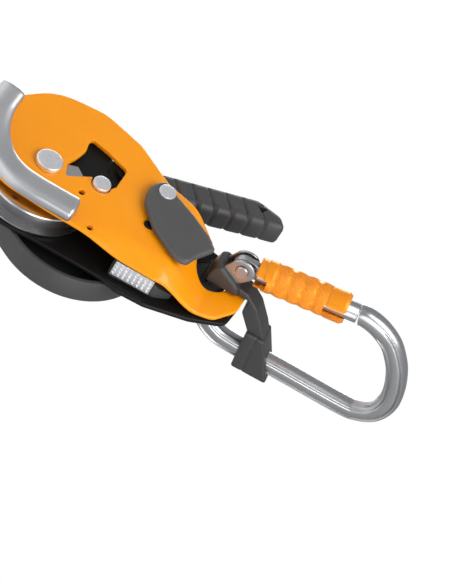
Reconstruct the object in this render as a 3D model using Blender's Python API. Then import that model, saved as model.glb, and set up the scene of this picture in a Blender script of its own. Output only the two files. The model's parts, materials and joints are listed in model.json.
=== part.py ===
"""Rope pulley with progress capture, hanging on its locking connector.

The frame hangs: +Z is up, the connector's top bow is at the origin, and the device hangs
below it.  The painted side plate faces -Y, the friction horn is on the +X side and the
handle on the -X side.  Numbers are millimetres until a mesh is made.
"""
import bmesh
import bpy
from math import acos, atan2, ceil, cos, hypot, pi, radians, sin, tan
from mathutils import Matrix, Vector

MM = 0.001
GAP = 0.3                      # clearance between neighbouring pieces that touch

# ---- connector -----------------------------------------------------------------------
BAR_DEPTH = 10.4               # frame bar, measured in the connector's plane
BAR_WIDTH = 8.6                # frame bar, across the connector's plane
SPINE_Y = 29.4                 # centre line of the straight spine
BOW_LOW_Z = -95.0              # centre line of the lower bow, where the device hangs
BOW_TOP_Z = 5.6                # centre line of the top bow
PIVOT = (-19.0, BOW_LOW_Z + 7.0)       # gate rivet in the YZ plane
NOSE = (-28.6, -30.4)          # end of the frame's nose in the YZ plane
LUG_RADIUS = 6.3
TONGUE = 1.7                   # half thickness of the gate's tongue
SLOT = 3.0                     # half width of the slot between the cheeks
RIVET_RADIUS = 2.4
GATE_RADIUS = 4.7
SLEEVE_RADIUS = 8.0
SLEEVE_COLLAR = 7.3
SLEEVE_START = 6.9             # distance from the gate rivet along the gate
SLEEVE_LENGTH = 45.5
SLEEVE_RECESS = 3.0            # depth of the room for the lug when the sleeve is pulled down
SLEEVE_SLOT = 2.4              # half width of the open slots in both ends
POCKET_RADIUS = 6.7            # room inside the sleeve for its spring

# ---- device --------------------------------------------------------------------------
EYE_RADIUS = 10.0              # attachment hole in both plates
EYE_Z = BOW_LOW_Z - 3.8        # hole centre: the bar rests under the hole's upper rim
LINER_RADIUS = 9.0             # disc of the positioning bar that fills the rear plate's hole
AXLE_X = 4.0                   # sheave axle
AXLE_DROP = 92.6               # distance from the attachment hole down to the axle
PLATE = 2.3                    # side plate thickness
REAR_PLATE = 2.5
FRONT_Y = -18.5                # outer face of the side plate over the sheave
TIP_Y = -3.5                   # outer face of the side plate at the attachment hole
SHEAVE_RADIUS = 30.0
SHEAVE_FRONT = -13.3
SHEAVE_REAR = -0.6
GROOVE_DEPTH = 9.0
FLANGE_RIM = 1.1               # flange thickness at the rim
AXLE_RADIUS = 4.5
AXLE_HEAD = 6.6
BUSH_WALL = 1.6
RATCHET_RADIUS = 14.0
RATCHET_TEETH = 12
GUARD_RADIUS = 40.0
GUARD_DEPTH = 15.0
WALL = 2.2
COVER_FRONT = -14.6
COVER = 1.0
LEVER_FRONT = -15.9
HORN_WIDTH = 13.0
HORN_THICKNESS = 8.4
LATCH_FRONT = -23.0
LATCH_BACK = -19.0
RIVET_HEAD = 4.4
STOP_PIN = 4.5
HANDLE_TILT = 20.3             # lean of the handle away from the device, degrees
HANDLE_WIDTH = 15.4
HANDLE_FRONT = -14.2
HANDLE_REAR = -0.5
HANDLE_LENGTH = 84.0
HUB_RADIUS = 9.0
BUTTON_RADIUS = 2.5

AXLE = (AXLE_X, EYE_Z - AXLE_DROP)
STOP = (AXLE_X - 4.5, AXLE[1] + 26.5)
LATCH_PIVOT = (-13.7, EYE_Z - 37.3)
HUB = (-20.0, EYE_Z - 58.0)
BUTTON = (6.7, EYE_Z - 37.7)
PAWL_PIVOT = (AXLE_X - 6.0, AXLE[1] + RATCHET_RADIUS + 10.0)
SIGHT_HOLES = ((AXLE[0] + 6.0, AXLE[1] + 20.2), (AXLE[0] + 23.4, AXLE[1] + 31.2))
SIGHT_HOLE = 1.6               # radius of the two small holes in the side plate
PAD_SCREWS = ((-4.0, 36.0), (15.0, 36.0))       # x, and depth below the attachment hole
COVER_SCREW = (-5.5, EYE_Z - 35.0)
HORN_RIVETS = ((27.4, 15.6), (26.6, -5.4))     # x, and height above the axle
GATE_TILT = atan2(NOSE[0] - PIVOT[0], NOSE[1] - PIVOT[1])
GATE_LENGTH = hypot(NOSE[0] - PIVOT[0], NOSE[1] - PIVOT[1]) - 0.9

COLOURS = {                    # base colour, roughness, metallic
    "orange": ((0.90, 0.29, 0.004), 0.28, 0.35),
    "steel": ((0.62, 0.62, 0.63), 0.28, 1.0),
    "aluminium": ((0.55, 0.55, 0.57), 0.32, 1.0),
    "plastic": ((0.075, 0.075, 0.078), 0.55, 0.0),
    "black": ((0.012, 0.012, 0.013), 0.45, 0.2),
    "brass": ((0.62, 0.45, 0.20), 0.35, 1.0),
}


# ---- helpers -------------------------------------------------------------------------
def clear_scene():
    for item in list(bpy.data.objects):
        bpy.data.objects.remove(item, do_unlink=True)


def material(kind):
    found = bpy.data.materials.get(kind)
    if found:
        return found
    colour, roughness, metallic = COLOURS[kind]
    made = bpy.data.materials.new(kind)
    made.use_nodes = True
    shader = made.node_tree.nodes["Principled BSDF"]
    shader.inputs["Base Color"].default_value = (*colour, 1.0)
    shader.inputs["Roughness"].default_value = roughness
    shader.inputs["Metallic"].default_value = metallic
    return made


def add(name, mesh, kind, pivot=(0.0, 0.0, 0.0)):
    """Put a mesh made in world millimetres into the scene, its origin at the pivot."""
    mesh.transform(Matrix.Scale(MM, 4) @ Matrix.Translation(-Vector(pivot)))
    item = bpy.data.objects.new(name, mesh)
    item.location = Vector(pivot) * MM
    bpy.context.scene.collection.objects.link(item)
    if kind:
        mesh.materials.append(material(kind))
    return item


def mesh_from(verts, faces):
    made = bmesh.new()
    points = [made.verts.new(v) for v in verts]
    for face in faces:
        made.faces.new([points[i] for i in face])
    bmesh.ops.recalc_face_normals(made, faces=made.faces)
    mesh = bpy.data.meshes.new("mesh")
    made.to_mesh(mesh)
    made.free()
    return mesh


def arc(cx, cy, radius, start, end, steps=10):
    """Points on an arc, angles in degrees from the first axis to the second."""
    turn = [radians(start + (end - start) * i / steps) for i in range(steps + 1)]
    return [(cx + radius * cos(a), cy + radius * sin(a)) for a in turn]


def circle(centre, radius, sides=24):
    return arc(centre[0], centre[1], radius, 0, 360 - 360 / sides, sides - 1)


def rounded(corners, steps=5):
    """An outline from (a, b, fillet radius) corners."""
    outline = []
    count = len(corners)
    for i, (a, b, radius) in enumerate(corners):
        here = Vector((a, b))
        back = (Vector(corners[i - 1][:2]) - here)
        ahead = (Vector(corners[(i + 1) % count][:2]) - here)
        if radius <= 0:
            outline.append((a, b))
            continue
        half = back.angle(ahead) / 2
        reach = min(radius / max(tan(half), 1e-6), back.length * 0.49, ahead.length * 0.49)
        first = here + back.normalized() * reach
        last = here + ahead.normalized() * reach
        for k in range(steps + 1):
            t = k / steps
            point = first * (1 - t) ** 2 + here * 2 * t * (1 - t) + last * t ** 2
            outline.append((point.x, point.y))
    return outline


def hull(one, radius_one, two, radius_two, steps=14):
    """The outline of a belt around two circles."""
    away = Vector(two) - Vector(one)
    heading = atan2(away.y, away.x)
    lean = acos((radius_one - radius_two) / away.length)
    outline = []
    for centre, radius, start, end in ((one, radius_one, heading + lean, heading + 2 * pi - lean),
                                       (two, radius_two, heading - lean, heading + lean)):
        for k in range(steps + 1):
            a = start + (end - start) * k / steps
            outline.append((centre[0] + radius * cos(a), centre[1] + radius * sin(a)))
    return outline


def prism(outline, low, high, axis="Y"):
    """An outline in the plane across an axis, extruded from low to high along it."""
    place = {"Y": lambda p, d: (p[0], d, p[1]), "X": lambda p, d: (d, p[0], p[1])}[axis]
    count = len(outline)
    verts = [place(p, low) for p in outline] + [place(p, high) for p in outline]
    faces = [tuple(range(count)), tuple(range(2 * count - 1, count - 1, -1))]
    faces += [(i, (i + 1) % count, count + (i + 1) % count, count + i) for i in range(count)]
    return mesh_from(verts, faces)


def frame_of(axis):
    """A rotation that takes +Z to the given axis."""
    return Vector((0, 0, 1)).rotation_difference(Vector(axis)).to_matrix().to_4x4()


def turned(profile, centre, axis, sides=24):
    """A solid of revolution: (radius, distance) points, from the axis and back to it."""
    rings = [p for p in profile if p[0] > 0]
    verts = []
    for radius, along in rings:
        for k in range(sides):
            a = 2 * pi * k / sides
            verts.append((radius * cos(a), radius * sin(a), along))
    faces = []
    closed = profile[0][0] > 0
    last = len(rings) if closed else len(rings) - 1
    for i in range(last):
        j = (i + 1) % len(rings)
        for k in range(sides):
            n = (k + 1) % sides
            faces.append((i * sides + k, i * sides + n, j * sides + n, j * sides + k))
    if not closed:
        faces.append(tuple(range(sides)))
        faces.append(tuple(range((len(rings) - 1) * sides, len(rings) * sides)))
    mesh = mesh_from(verts, faces)
    mesh.transform(Matrix.Translation(centre) @ frame_of(axis))
    return mesh


def rod(radius, low, high, centre, sides=24, axis="Y"):
    """A cylinder along an axis, from low to high, about a centre in the plane across it."""
    return prism(circle(centre, radius, sides), low, high, axis)


def sweep(centres, sections, closed=False):
    """A skin over cross sections that stand at points of a path."""
    count = len(sections[0])
    verts = [p for section in sections for p in section]
    faces = []
    rings = len(centres)
    for i in range(rings if closed else rings - 1):
        j = (i + 1) % rings
        for k in range(count):
            n = (k + 1) % count
            faces.append((i * count + k, i * count + n, j * count + n, j * count + k))
    if not closed:
        faces.append(tuple(range(count)))
        faces.append(tuple(range((rings - 1) * count, rings * count)))
    return mesh_from(verts, faces)


def smooth_path(points, per_span=5):
    """A Catmull-Rom curve through hand-set points."""
    ends = [points[0]] + list(points) + [points[-1]]
    path = []
    for i in range(1, len(ends) - 2):
        a, b, c, d = (Vector(ends[i + k]) for k in (-1, 0, 1, 2))
        for k in range(per_span):
            t = k / per_span
            path.append(0.5 * ((2 * b) + (c - a) * t + (2 * a - 5 * b + 4 * c - d) * t ** 2
                               + (3 * b - a - 3 * c + d) * t ** 3))
    path.append(Vector(points[-1]))
    return path


def swept_bar(path, width_dir, width, depth, sides=10, power=3.0):
    """A rounded bar along a path; width lies along width_dir, depth across it."""
    sections = []
    for i, here in enumerate(path):
        ahead = path[min(i + 1, len(path) - 1)] - path[max(i - 1, 0)]
        across = Vector(width_dir) - ahead.normalized() * ahead.normalized().dot(Vector(width_dir))
        across.normalize()
        other = ahead.normalized().cross(across)
        ring = []
        for k in range(sides):
            a = 2 * pi * (k + 0.5) / sides
            c, s = cos(a), sin(a)
            u = width / 2 * abs(c) ** (2 / power) * (1 if c > 0 else -1)
            v = depth / 2 * abs(s) ** (2 / power) * (1 if s > 0 else -1)
            ring.append(here + across * u + other * v)
        sections.append(ring)
    return sweep(path, sections)


def coil(centre, axis, radius, wire, turns, length, sides=6, per_turn=14):
    """A helical spring that starts at the centre and runs along the axis."""
    turn = Matrix.Translation(centre) @ frame_of(axis)
    steps = ceil(turns * per_turn)
    path = []
    for i in range(steps + 1):
        a = 2 * pi * turns * i / steps
        path.append(turn @ Vector((radius * cos(a), radius * sin(a), length * i / steps)))
    sections = []
    for i, here in enumerate(path):
        ahead = (path[min(i + 1, steps)] - path[max(i - 1, 0)]).normalized()
        across = ahead.cross(Vector(axis).normalized()).normalized()
        other = ahead.cross(across)
        sections.append([here + (across * cos(2 * pi * k / sides) + other * sin(2 * pi * k / sides))
                         * wire / 2 for k in range(sides)])
    return sweep(path, sections)


def combine(item, tool_mesh, operation):
    """Cut, join or intersect an object with a mesh made in world millimetres."""
    tool = add("tool", tool_mesh, None)
    step = item.modifiers.new(operation.lower(), "BOOLEAN")
    step.operation = operation
    step.solver = "EXACT"
    step.object = tool
    bpy.context.view_layer.update()
    graph = bpy.context.evaluated_depsgraph_get()
    mesh = bpy.data.meshes.new_from_object(item.evaluated_get(graph))
    item.modifiers.clear()
    item.data = mesh
    bpy.data.objects.remove(tool, do_unlink=True)
    return item


def cut(item, *tools):
    for tool in tools:
        combine(item, tool, "DIFFERENCE")
    return item


def join(item, *tools):
    for tool in tools:
        combine(item, tool, "UNION")
    return item


def soften(item, width=0.4, segments=1, angle=35):
    """Bevel the sharp edges, before anything is cut from the piece."""
    step = item.modifiers.new("edge", "BEVEL")
    step.width = width * MM
    step.segments = segments
    step.limit_method = "ANGLE"
    step.angle_limit = radians(angle)
    return item


# ---- connector -----------------------------------------------------------------------
def connector_path():
    """The frame's centre line in the YZ plane, from the nose round to the gate rivet."""
    points = [NOSE, along_gate(GATE_LENGTH + 4.5), (-27.4, -19.0), (-22.8, -11.0),
              (-17.0, -5.6), (-9.0, -0.4), (2.0, 3.9), (13.0, BOW_TOP_Z), (22.4, 2.8),
              (27.6, -4.0), (SPINE_Y, -13.0), (SPINE_Y, (BOW_LOW_Z + 9.0) / 2),
              (SPINE_Y, BOW_LOW_Z + 22.0), (27.6, BOW_LOW_Z + 11.5), (21.6, BOW_LOW_Z + 3.6),
              (11.5, BOW_LOW_Z - 0.2), (0.0, BOW_LOW_Z), (-8.6, BOW_LOW_Z + 1.4),
              (-15.2, BOW_LOW_Z + 4.2), PIVOT]
    return smooth_path([(0.0, y, z) for y, z in points], 3)


def along_gate(distance, side=0.0):
    """A point in the YZ plane: so far from the rivet along the gate, so far inward."""
    return (PIVOT[0] + distance * sin(GATE_TILT) + side * cos(GATE_TILT),
            PIVOT[1] + distance * cos(GATE_TILT) - side * sin(GATE_TILT))


def gate_axis():
    return (0.0, sin(GATE_TILT), cos(GATE_TILT))


def connector_frame():
    bar = add("connector_frame", swept_bar(connector_path(), (1, 0, 0), BAR_WIDTH, BAR_DEPTH),
              "aluminium")
    join(bar, rod(LUG_RADIUS, -BAR_WIDTH / 2, BAR_WIDTH / 2, PIVOT, 24, "X"))
    slot = [along_gate(-9.0, -12.0), along_gate(-9.0, 7.5), along_gate(9.0, 9.5),
            along_gate(9.0, -12.0)]
    cut(bar, prism(slot, -SLOT, SLOT, "X"),
        rod(RIVET_RADIUS + GAP, -9, 9, PIVOT, 20, "X"))
    return bar


def gate_parts():
    head = RIVET_RADIUS + 0.35
    rivet = [(RIVET_RADIUS, -BAR_WIDTH / 2 - 0.1), (RIVET_RADIUS, BAR_WIDTH / 2 + 0.1),
             (head + 0.5, BAR_WIDTH / 2 + GAP + 0.1), (head, BAR_WIDTH / 2 + 0.9), (0, 0)]
    mesh = turned([(0, 0), (head, -BAR_WIDTH / 2 - 0.9), (head + 0.5, -BAR_WIDTH / 2 - GAP - 0.1)]
                  + rivet, (0, *PIVOT), (1, 0, 0))
    add("gate_rivet", mesh, "steel", (0, *PIVOT))

    body = turned([(0, 0), (GATE_RADIUS, 7.0), (GATE_RADIUS, GATE_LENGTH), (0, 0)],
                  (0, *PIVOT), gate_axis())
    gate = add("gate", body, "aluminium", (0, *PIVOT))
    neck = rounded([(*along_gate(0, -5.6), 0), (*along_gate(10, -3.6), 0),
                    (*along_gate(10, 3.6), 0), (*along_gate(0, 5.6), 0)])
    join(gate, prism(neck, -TONGUE, TONGUE, "X"),
         rod(5.6, -TONGUE, TONGUE, PIVOT, 24, "X"))
    cut(gate, rod(RIVET_RADIUS + GAP, -9, 9, PIVOT, 20, "X"))
    add("gate_spring", coil((TONGUE + 0.65, *PIVOT), (1, 0, 0), 4.0, 0.5, 0.9, 0.1, 5), "steel",
        (0, *PIVOT))
    pin = along_gate(SLEEVE_START + 28.0)
    add("guide_pin", rod(1.0, GATE_RADIUS + GAP, POCKET_RADIUS - 0.5, pin, 12, "X"), "steel",
        (0, *PIVOT))


def sleeve_profile():
    """Outer profile of the lock sleeve: collars at the ends, four raised grip bands."""
    start, end = SLEEVE_START, SLEEVE_START + SLEEVE_LENGTH
    points = [(LUG_RADIUS + GAP, start), (SLEEVE_COLLAR, start), (SLEEVE_COLLAR, start + 7.5)]
    for band in range(4):
        low = start + 9.5 + 6.6 * band
        points += [(SLEEVE_RADIUS - 0.4, low), (SLEEVE_RADIUS, low + 1.0),
                   (SLEEVE_RADIUS, low + 5.6)]
    points += [(SLEEVE_COLLAR, end - 7.5), (SLEEVE_COLLAR, end), (GATE_RADIUS + GAP, end),
               (GATE_RADIUS + GAP, end - 11.6), (POCKET_RADIUS, end - 12.2),
               (POCKET_RADIUS, start + 11.1), (GATE_RADIUS + GAP, start + 10.5),
               (GATE_RADIUS + GAP, start + SLEEVE_RECESS + 0.4),
               (LUG_RADIUS + GAP, start + SLEEVE_RECESS)]
    return points


def sleeve_parts():
    mesh = turned(sleeve_profile(), (0, *PIVOT), gate_axis(), 22)
    sleeve = add("lock_sleeve", mesh, "orange", (0, *PIVOT))
    end = SLEEVE_START + SLEEVE_LENGTH
    for low, high in ((SLEEVE_START - 1, SLEEVE_START + 6.0), (end - 11.0, end + 1)):
        notch = [along_gate(low, -SLEEVE_SLOT), along_gate(high, -SLEEVE_SLOT),
                 along_gate(high, SLEEVE_SLOT), along_gate(low, SLEEVE_SLOT)]
        cut(sleeve, prism(notch, 3.0, 12.0, "X"))
    add("sleeve_spring", coil((0, *along_gate(SLEEVE_START + 12.1)), gate_axis(), 5.85, 0.9, 4.5,
                              14.0, 5, 10), "steel", (0, *PIVOT))


def over_bow(corners):
    """(y, height above the lower bow's centre line, fillet) corners in world heights."""
    return rounded([(y, BOW_LOW_Z + rise, fillet) for y, rise, fillet in corners])


def positioning_bar():
    """The clip that keeps the device at the connector's lower end."""
    head = over_bow([(-16.8, -2.0, 2), (-15.0, -4.6, 1), (-9.0, -6.0, 2), (-4.6, -6.0, 1),
                     (-4.6, 11.0, 0), (-9.2, 10.4, 1), (-10.6, 8.8, 2)])
    arm = over_bow([(-9.2, 10.2, 0), (-4.6, 10.2, 0), (-4.6, 17.4, 1), (3.8, 17.4, 3),
                    (14.0, 25.4, 0), (14.0, 34.6, 0), (7.4, 30.6, 3), (-2.4, 23.2, 4),
                    (-8.6, 15.2, 3)])
    foot = over_bow([(12.6, 24.6, 1), (37.4, 27.0, 1.5), (37.0, 46.4, 1.5), (12.6, 34.2, 1)])
    bar = add("positioning_bar", prism(head, -6.6, 6.6, "X"), "plastic")
    neck = over_bow([(-9.0, -7.2, 0), (0.0, -7.2, 0), (0.0, -5.0, 0), (-9.0, -5.0, 0)])
    join(bar, prism(arm, -5.0, 5.0, "X"), prism(foot, -6.6, 6.6, "X"),
         prism(neck, -4.0, 4.0, "X"), rod(LINER_RADIUS, PLATE + TIP_Y + 0.4, REAR_PLATE + 0.9,
                                          (0, EYE_Z), 32))
    head_pin, foot_pin = (-6.7, BOW_LOW_Z + 8.6), (18.5, BOW_LOW_Z + 31.2)
    cut(bar, swept_bar(connector_path(), (1, 0, 0), BAR_WIDTH + 2 * GAP, BAR_DEPTH + 2 * GAP),
        rod(1.8, -9, 9, head_pin, 16, "X"), rod(1.8, -9, 9, foot_pin, 16, "X"))
    for name, centre in (("bar_head_pin", head_pin), ("bar_foot_pin", foot_pin)):
        add(name, rod(1.8 - GAP, -6.2, 6.2, centre, 16, "X"), "steel")


# ---- device: fixed side --------------------------------------------------------------
def device(points):
    """Move (x, height above the attachment hole, fillet) corners to world heights."""
    return [(x, EYE_Z + z, r) for x, z, r in points]


def about_axle(points):
    """Move (x, height above the axle, fillet) corners to world heights."""
    return [(x, AXLE[1] + z, r) for x, z, r in points]


def rear_outline():
    plus_side = device([(5, 19.4, 14), (21, 16.5, 8), (29.5, 0, 14), (35.6, -22, 8),
                        (36.2, -37, 5), (34, -46, 8)])
    far_end = about_axle([(34, -7.4, 26), (24, -33.4, 26), (-18, -33.4, 30), (-38, -7.4, 26),
                          (-40, 22.6, 16)])
    minus_side = device([(-30, -44, 10), (-22, -22, 12), (-16, 6, 10), (-8, 18.4, 8)])
    return rounded(plus_side + far_end + minus_side, 4)


def rear_plate():
    plate = add("rear_plate", prism(rear_outline(), 0.0, REAR_PLATE), "black")
    cut(plate, rod(EYE_RADIUS, -1, 5, (0, EYE_Z), 32), rod(RATCHET_RADIUS + 2, -1, 5, AXLE, 32),
        rod(3.2 + GAP, -1, 5, HUB, 20), rod(1.7 + GAP / 2, -1, 5, PAWL_PIVOT, 16))
    for x, drop in PAD_SCREWS:
        cut(plate, rod(1.7, -1, 5, (x, EYE_Z - drop), 12))
    return plate


def rear_guard():
    """A shallow drum on the back: it covers the ratchet and flares past the plate's edge."""
    centre = (2.8, EYE_Z - 66.8)
    back = REAR_PLATE + GAP
    outline = hull(centre, GUARD_RADIUS, AXLE, 24.0, 16)
    inner = hull(centre, GUARD_RADIUS - WALL, AXLE, 24.0 - WALL, 16)
    guard = add("rear_guard", prism(outline, back, back + GUARD_DEPTH), "plastic")
    soften(guard, 1.5, 2, 50)
    cut(guard, prism(inner, back - 1, back + GUARD_DEPTH - WALL))
    return guard


def axle_parts():
    head = [(0, 0), (AXLE_HEAD - 0.5, FRONT_Y - 2.6), (AXLE_HEAD, FRONT_Y - 2.1),
            (AXLE_HEAD, FRONT_Y - GAP), (AXLE_RADIUS, FRONT_Y - GAP), (AXLE_RADIUS, 12.0), (0, 0)]
    add("main_axle", turned(head, (AXLE[0], 0, AXLE[1]), (0, 1, 0)), "steel",
        (AXLE[0], 0, AXLE[1]))
    ring = [(AXLE_RADIUS + GAP, 9.6), (AXLE_RADIUS + 3.2, 9.6), (AXLE_RADIUS + 3.2, 11.4),
            (AXLE_RADIUS + GAP, 11.4)]
    add("axle_clip", turned(ring, (AXLE[0], 0, AXLE[1]), (0, 1, 0)), "steel")
    pin = [(0, 0), (STOP_PIN - 0.4, FRONT_Y - 1.6), (STOP_PIN, FRONT_Y - 1.2),
           (STOP_PIN, FRONT_Y + 1.0), (3.2, FRONT_Y + 1.4), (3.2, COVER_FRONT - GAP), (0, 0)]
    add("stop_pin", turned(pin, (STOP[0], 0, STOP[1]), (0, 1, 0)), "steel")


def inner_cover():
    """The black plate between the sheave and the side plate."""
    near_eye = device([(-12, -30, 4), (2, -30, 3), (2, -40, 3)])
    round_axle = about_axle([(14, 30.6, 8), (20, 6.6, 14), (18, -15.4, 14), (-10, -17.4, 14),
                             (-30, -1.4, 12), (-31.5, 12.6, 6), (-27, 23.6, 5)])
    outline = rounded(near_eye + round_axle + device([(-14, -50, 6)]), 4)
    cover = add("inner_cover", prism(outline, COVER_FRONT, COVER_FRONT + COVER), "black")
    cut(cover, rod(AXLE_RADIUS + GAP, -20, 0, AXLE, 24), rod(1.7, -20, 0, COVER_SCREW, 12),
        rod(HUB_RADIUS + 1.0, -20, 0, HUB, 24))
    return cover


def pad_block():
    """The spacer between the plates that carries the studded pad."""
    side = [(EYE_Z - 44, -0.3), (EYE_Z - 44, -12.0), (EYE_Z - 29, -12.0), (EYE_Z - 12.5, -3.4),
            (EYE_Z - 12.5, -0.3)]
    outline = rounded(device([(-12, -44, 3), (30.6, -44, 2), (29.4, -20, 4), (25, -12.5, 2),
                              (-8, -12.5, 3), (-12, -26, 4)]), 3)
    block = add("pad_block", prism(outline, -12.0, -0.3), "plastic")
    combine(block, prism([(y, z) for z, y in side], -60, 60, "X"), "INTERSECT")
    join(block, rod(4.0, COVER_FRONT + COVER + GAP, -6, COVER_SCREW, 20))
    cut(block, prism([(28.3, EYE_Z - 43.2), (40, EYE_Z - 43.2), (40, EYE_Z - 22.4),
                      (28.3, EYE_Z - 22.4)], -11.6, -1.8),
        rod(1.5, -20, -7, COVER_SCREW, 12))
    for x, drop in PAD_SCREWS:
        cut(block, rod(1.5, -7, 2, (x, EYE_Z - drop), 12))
    for number, (x, drop) in enumerate(PAD_SCREWS, 1):
        screw = [(0, 0), (3.0, REAR_PLATE + 2.2), (3.0, REAR_PLATE + GAP),
                 (1.2, REAR_PLATE + GAP), (1.2, -6.5), (0, 0)]
        add(f"pad_screw_{number}", turned(screw, (x, 0, EYE_Z - drop), (0, 1, 0), 14), "steel")
    screw = [(0, 0), (1.2, -8.0), (1.2, COVER_FRONT - GAP), (2.6, COVER_FRONT - GAP),
             (2.6, COVER_FRONT - 1.0), (0, 0)]
    add("cover_screw", turned(screw, (COVER_SCREW[0], 0, COVER_SCREW[1]), (0, 1, 0), 14), "steel")


def friction_pad():
    """A steel plate whose outer face carries rows of small pyramids."""
    low, high = EYE_Z - 42.9, EYE_Z - 22.7
    pad = add("friction_pad", prism([(28.6, low), (31.0, low), (31.0, high), (28.6, high)],
                                    -11.3, -2.1), "steel")
    rows, columns = 4, 8
    verts = []
    faces = []
    pitch_y, pitch_z = 9.2 / rows, (high - low) / columns
    for i in range(rows):
        for j in range(columns):
            y, z = -11.3 + pitch_y * (i + 0.5), low + pitch_z * (j + 0.5)
            base = len(verts)
            half = 0.36 * pitch_y
            verts += [(30.8, y - half, z - half), (30.8, y + half, z - half),
                      (30.8, y + half, z + half), (30.8, y - half, z + half), (32.0, y, z)]
            faces += [(base, base + 1, base + 2, base + 3)]
            faces += [(base + k, base + (k + 1) % 4, base + 4) for k in range(4)]
    join(pad, mesh_from(verts, faces))
    return pad


# ---- sheave --------------------------------------------------------------------------
def groove(turn):
    """Radius and half width of the rope groove; turn runs from the rim to the bottom."""
    half = (SHEAVE_REAR - SHEAVE_FRONT) / 2 - FLANGE_RIM
    return SHEAVE_RADIUS - GROOVE_DEPTH * sin(turn), half * cos(turn)


def sheave_parts():
    middle = (SHEAVE_FRONT + SHEAVE_REAR) / 2
    half = (SHEAVE_REAR - SHEAVE_FRONT) / 2
    where = (AXLE[0], middle, AXLE[1])
    bore = AXLE_RADIUS + GAP + BUSH_WALL + GAP
    front = [groove(radians(15 * k)) for k in range(7)]
    profile = [(bore, -half), (SHEAVE_RADIUS - 0.5, -half), (SHEAVE_RADIUS, 0.5 - half)]
    profile += [(r, -w) for r, w in front] + [(r, w) for r, w in front[-2::-1]]
    profile += [(SHEAVE_RADIUS, half - 0.5), (SHEAVE_RADIUS - 0.5, half),
                (11.0, half), (11.0, half + 3.6), (bore, half + 3.6)]
    add("sheave", turned(profile, where, (0, 1, 0), 36), "aluminium", where)
    inner = AXLE_RADIUS + GAP
    bush = [(inner, -half), (inner + BUSH_WALL, -half), (inner + BUSH_WALL, half + 3.4),
            (inner, half + 3.4)]
    add("sheave_bush", turned(bush, where, (0, 1, 0)), "brass", where)
    ratchet()


def ratchet():
    tooth = []
    low = SHEAVE_REAR + 3.6 + GAP
    for k in range(RATCHET_TEETH):
        a = 2 * pi * k / RATCHET_TEETH
        b = a + 2 * pi / RATCHET_TEETH * 0.9
        tooth.append((AXLE[0] + RATCHET_RADIUS * cos(a), AXLE[1] + RATCHET_RADIUS * sin(a)))
        tooth.append((AXLE[0] + (RATCHET_RADIUS - 2.4) * cos(b),
                      AXLE[1] + (RATCHET_RADIUS - 2.4) * sin(b)))
    wheel = add("ratchet_wheel", prism(tooth, low, low + 4.0), "steel", (AXLE[0], 0, AXLE[1]))
    cut(wheel, rod(AXLE_RADIUS + 2 * GAP + BUSH_WALL, 0, 12, AXLE, 24))
    tip = (AXLE[0] + 2.6, AXLE[1] + RATCHET_RADIUS + 0.6)
    arm = rounded([(PAWL_PIVOT[0] - 4, PAWL_PIVOT[1] - 1.0, 2), (*tip, 0.4),
                   (tip[0] + 2.2, tip[1] + 1.0, 0.4), (PAWL_PIVOT[0] + 3.8, PAWL_PIVOT[1] + 2.5, 2),
                   (PAWL_PIVOT[0] - 2.5, PAWL_PIVOT[1] + 4.2, 2)], 3)
    pawl = add("pawl", prism(arm, low, low + 4.0), "steel", (PAWL_PIVOT[0], 0, PAWL_PIVOT[1]))
    cut(pawl, rod(1.7 + GAP, 0, 12, PAWL_PIVOT, 16))
    pin = [(0, 0), (1.7 - GAP / 2, 0.2), (1.7 - GAP / 2, low + 4 + GAP), (3.0, low + 4 + GAP),
           (3.0, low + 5.2), (0, 0)]
    add("pawl_pin", turned(pin, (PAWL_PIVOT[0], 0, PAWL_PIVOT[1]), (0, 1, 0), 16), "steel")
    add("pawl_spring", coil((PAWL_PIVOT[0], low + 6.0, PAWL_PIVOT[1]), (0, 1, 0), 2.6, 0.7, 3.0,
                            3.0, 5, 10), "steel")


def release_cam():
    """The small steel hook on the axle that shows in the plate's window."""
    outline = arc(AXLE[0], AXLE[1], 9.0, -150, 70, 12)
    outline += [(AXLE[0] - 1.0, AXLE[1] + 13.5), (AXLE[0] - 6.5, AXLE[1] + 17.0),
                (AXLE[0] - 10.0, AXLE[1] + 13.0), (AXLE[0] - 8.0, AXLE[1] + 8.0),
                (AXLE[0] - 9.0, AXLE[1] + 2.0)]
    cam = add("release_cam", prism(outline, LEVER_FRONT, COVER_FRONT - GAP), "steel",
              (AXLE[0], 0, AXLE[1]))
    cut(cam, rod(AXLE_RADIUS + GAP, -20, 0, AXLE, 24))
    return cam


# ---- side plate ----------------------------------------------------------------------
def step01(t):
    t = max(0.0, min(1.0, t))
    return t * t * (3 - 2 * t)


def plate_y(x, z):
    """Outer face of the side plate: a step down to the hole and a rolled +X rim."""
    down = step01((z - EYE_Z + 24.0) / 26.0)
    rim = step01((x - 20.0) / 14.0) * step01((z - EYE_Z + 66.0) / 26.0) * (1 - 0.85 * down)
    return FRONT_Y + (TIP_Y - FRONT_Y) * down + 4.2 * rim


def plate_outline():
    plus_side = device([(2, 19.6, 6), (13, 18.4, 9), (24.5, 10.0, 8), (28.6, -8, 14),
                        (32.0, -24, 16)])
    far_end = about_axle([(31.4, 36.6, 20), (30.6, 8.6, 20), (29, -11.4, 24), (20, -34.4, 22),
                          (-18, -35.4, 30), (-42, -13.4, 30), (-45, 12.6, 24), (-38, 34.6, 20)])
    minus_side = device([(-24, -38, 12), (-17, -14, 8), (-15, -2, 1.5), (-9.5, 6, 2),
                         (-9.5, 17, 4)])
    return rounded(plus_side + far_end + minus_side, 4)


def eye_outline():
    """The attachment hole with its mouth, which opens toward -X."""
    low = 217.0
    mouth = arc(0, EYE_Z, EYE_RADIUS, 90, low - 360, 24)
    return mouth + [(-30.0, mouth[-1][1]), (-30.0, EYE_Z + EYE_RADIUS)]


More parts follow.
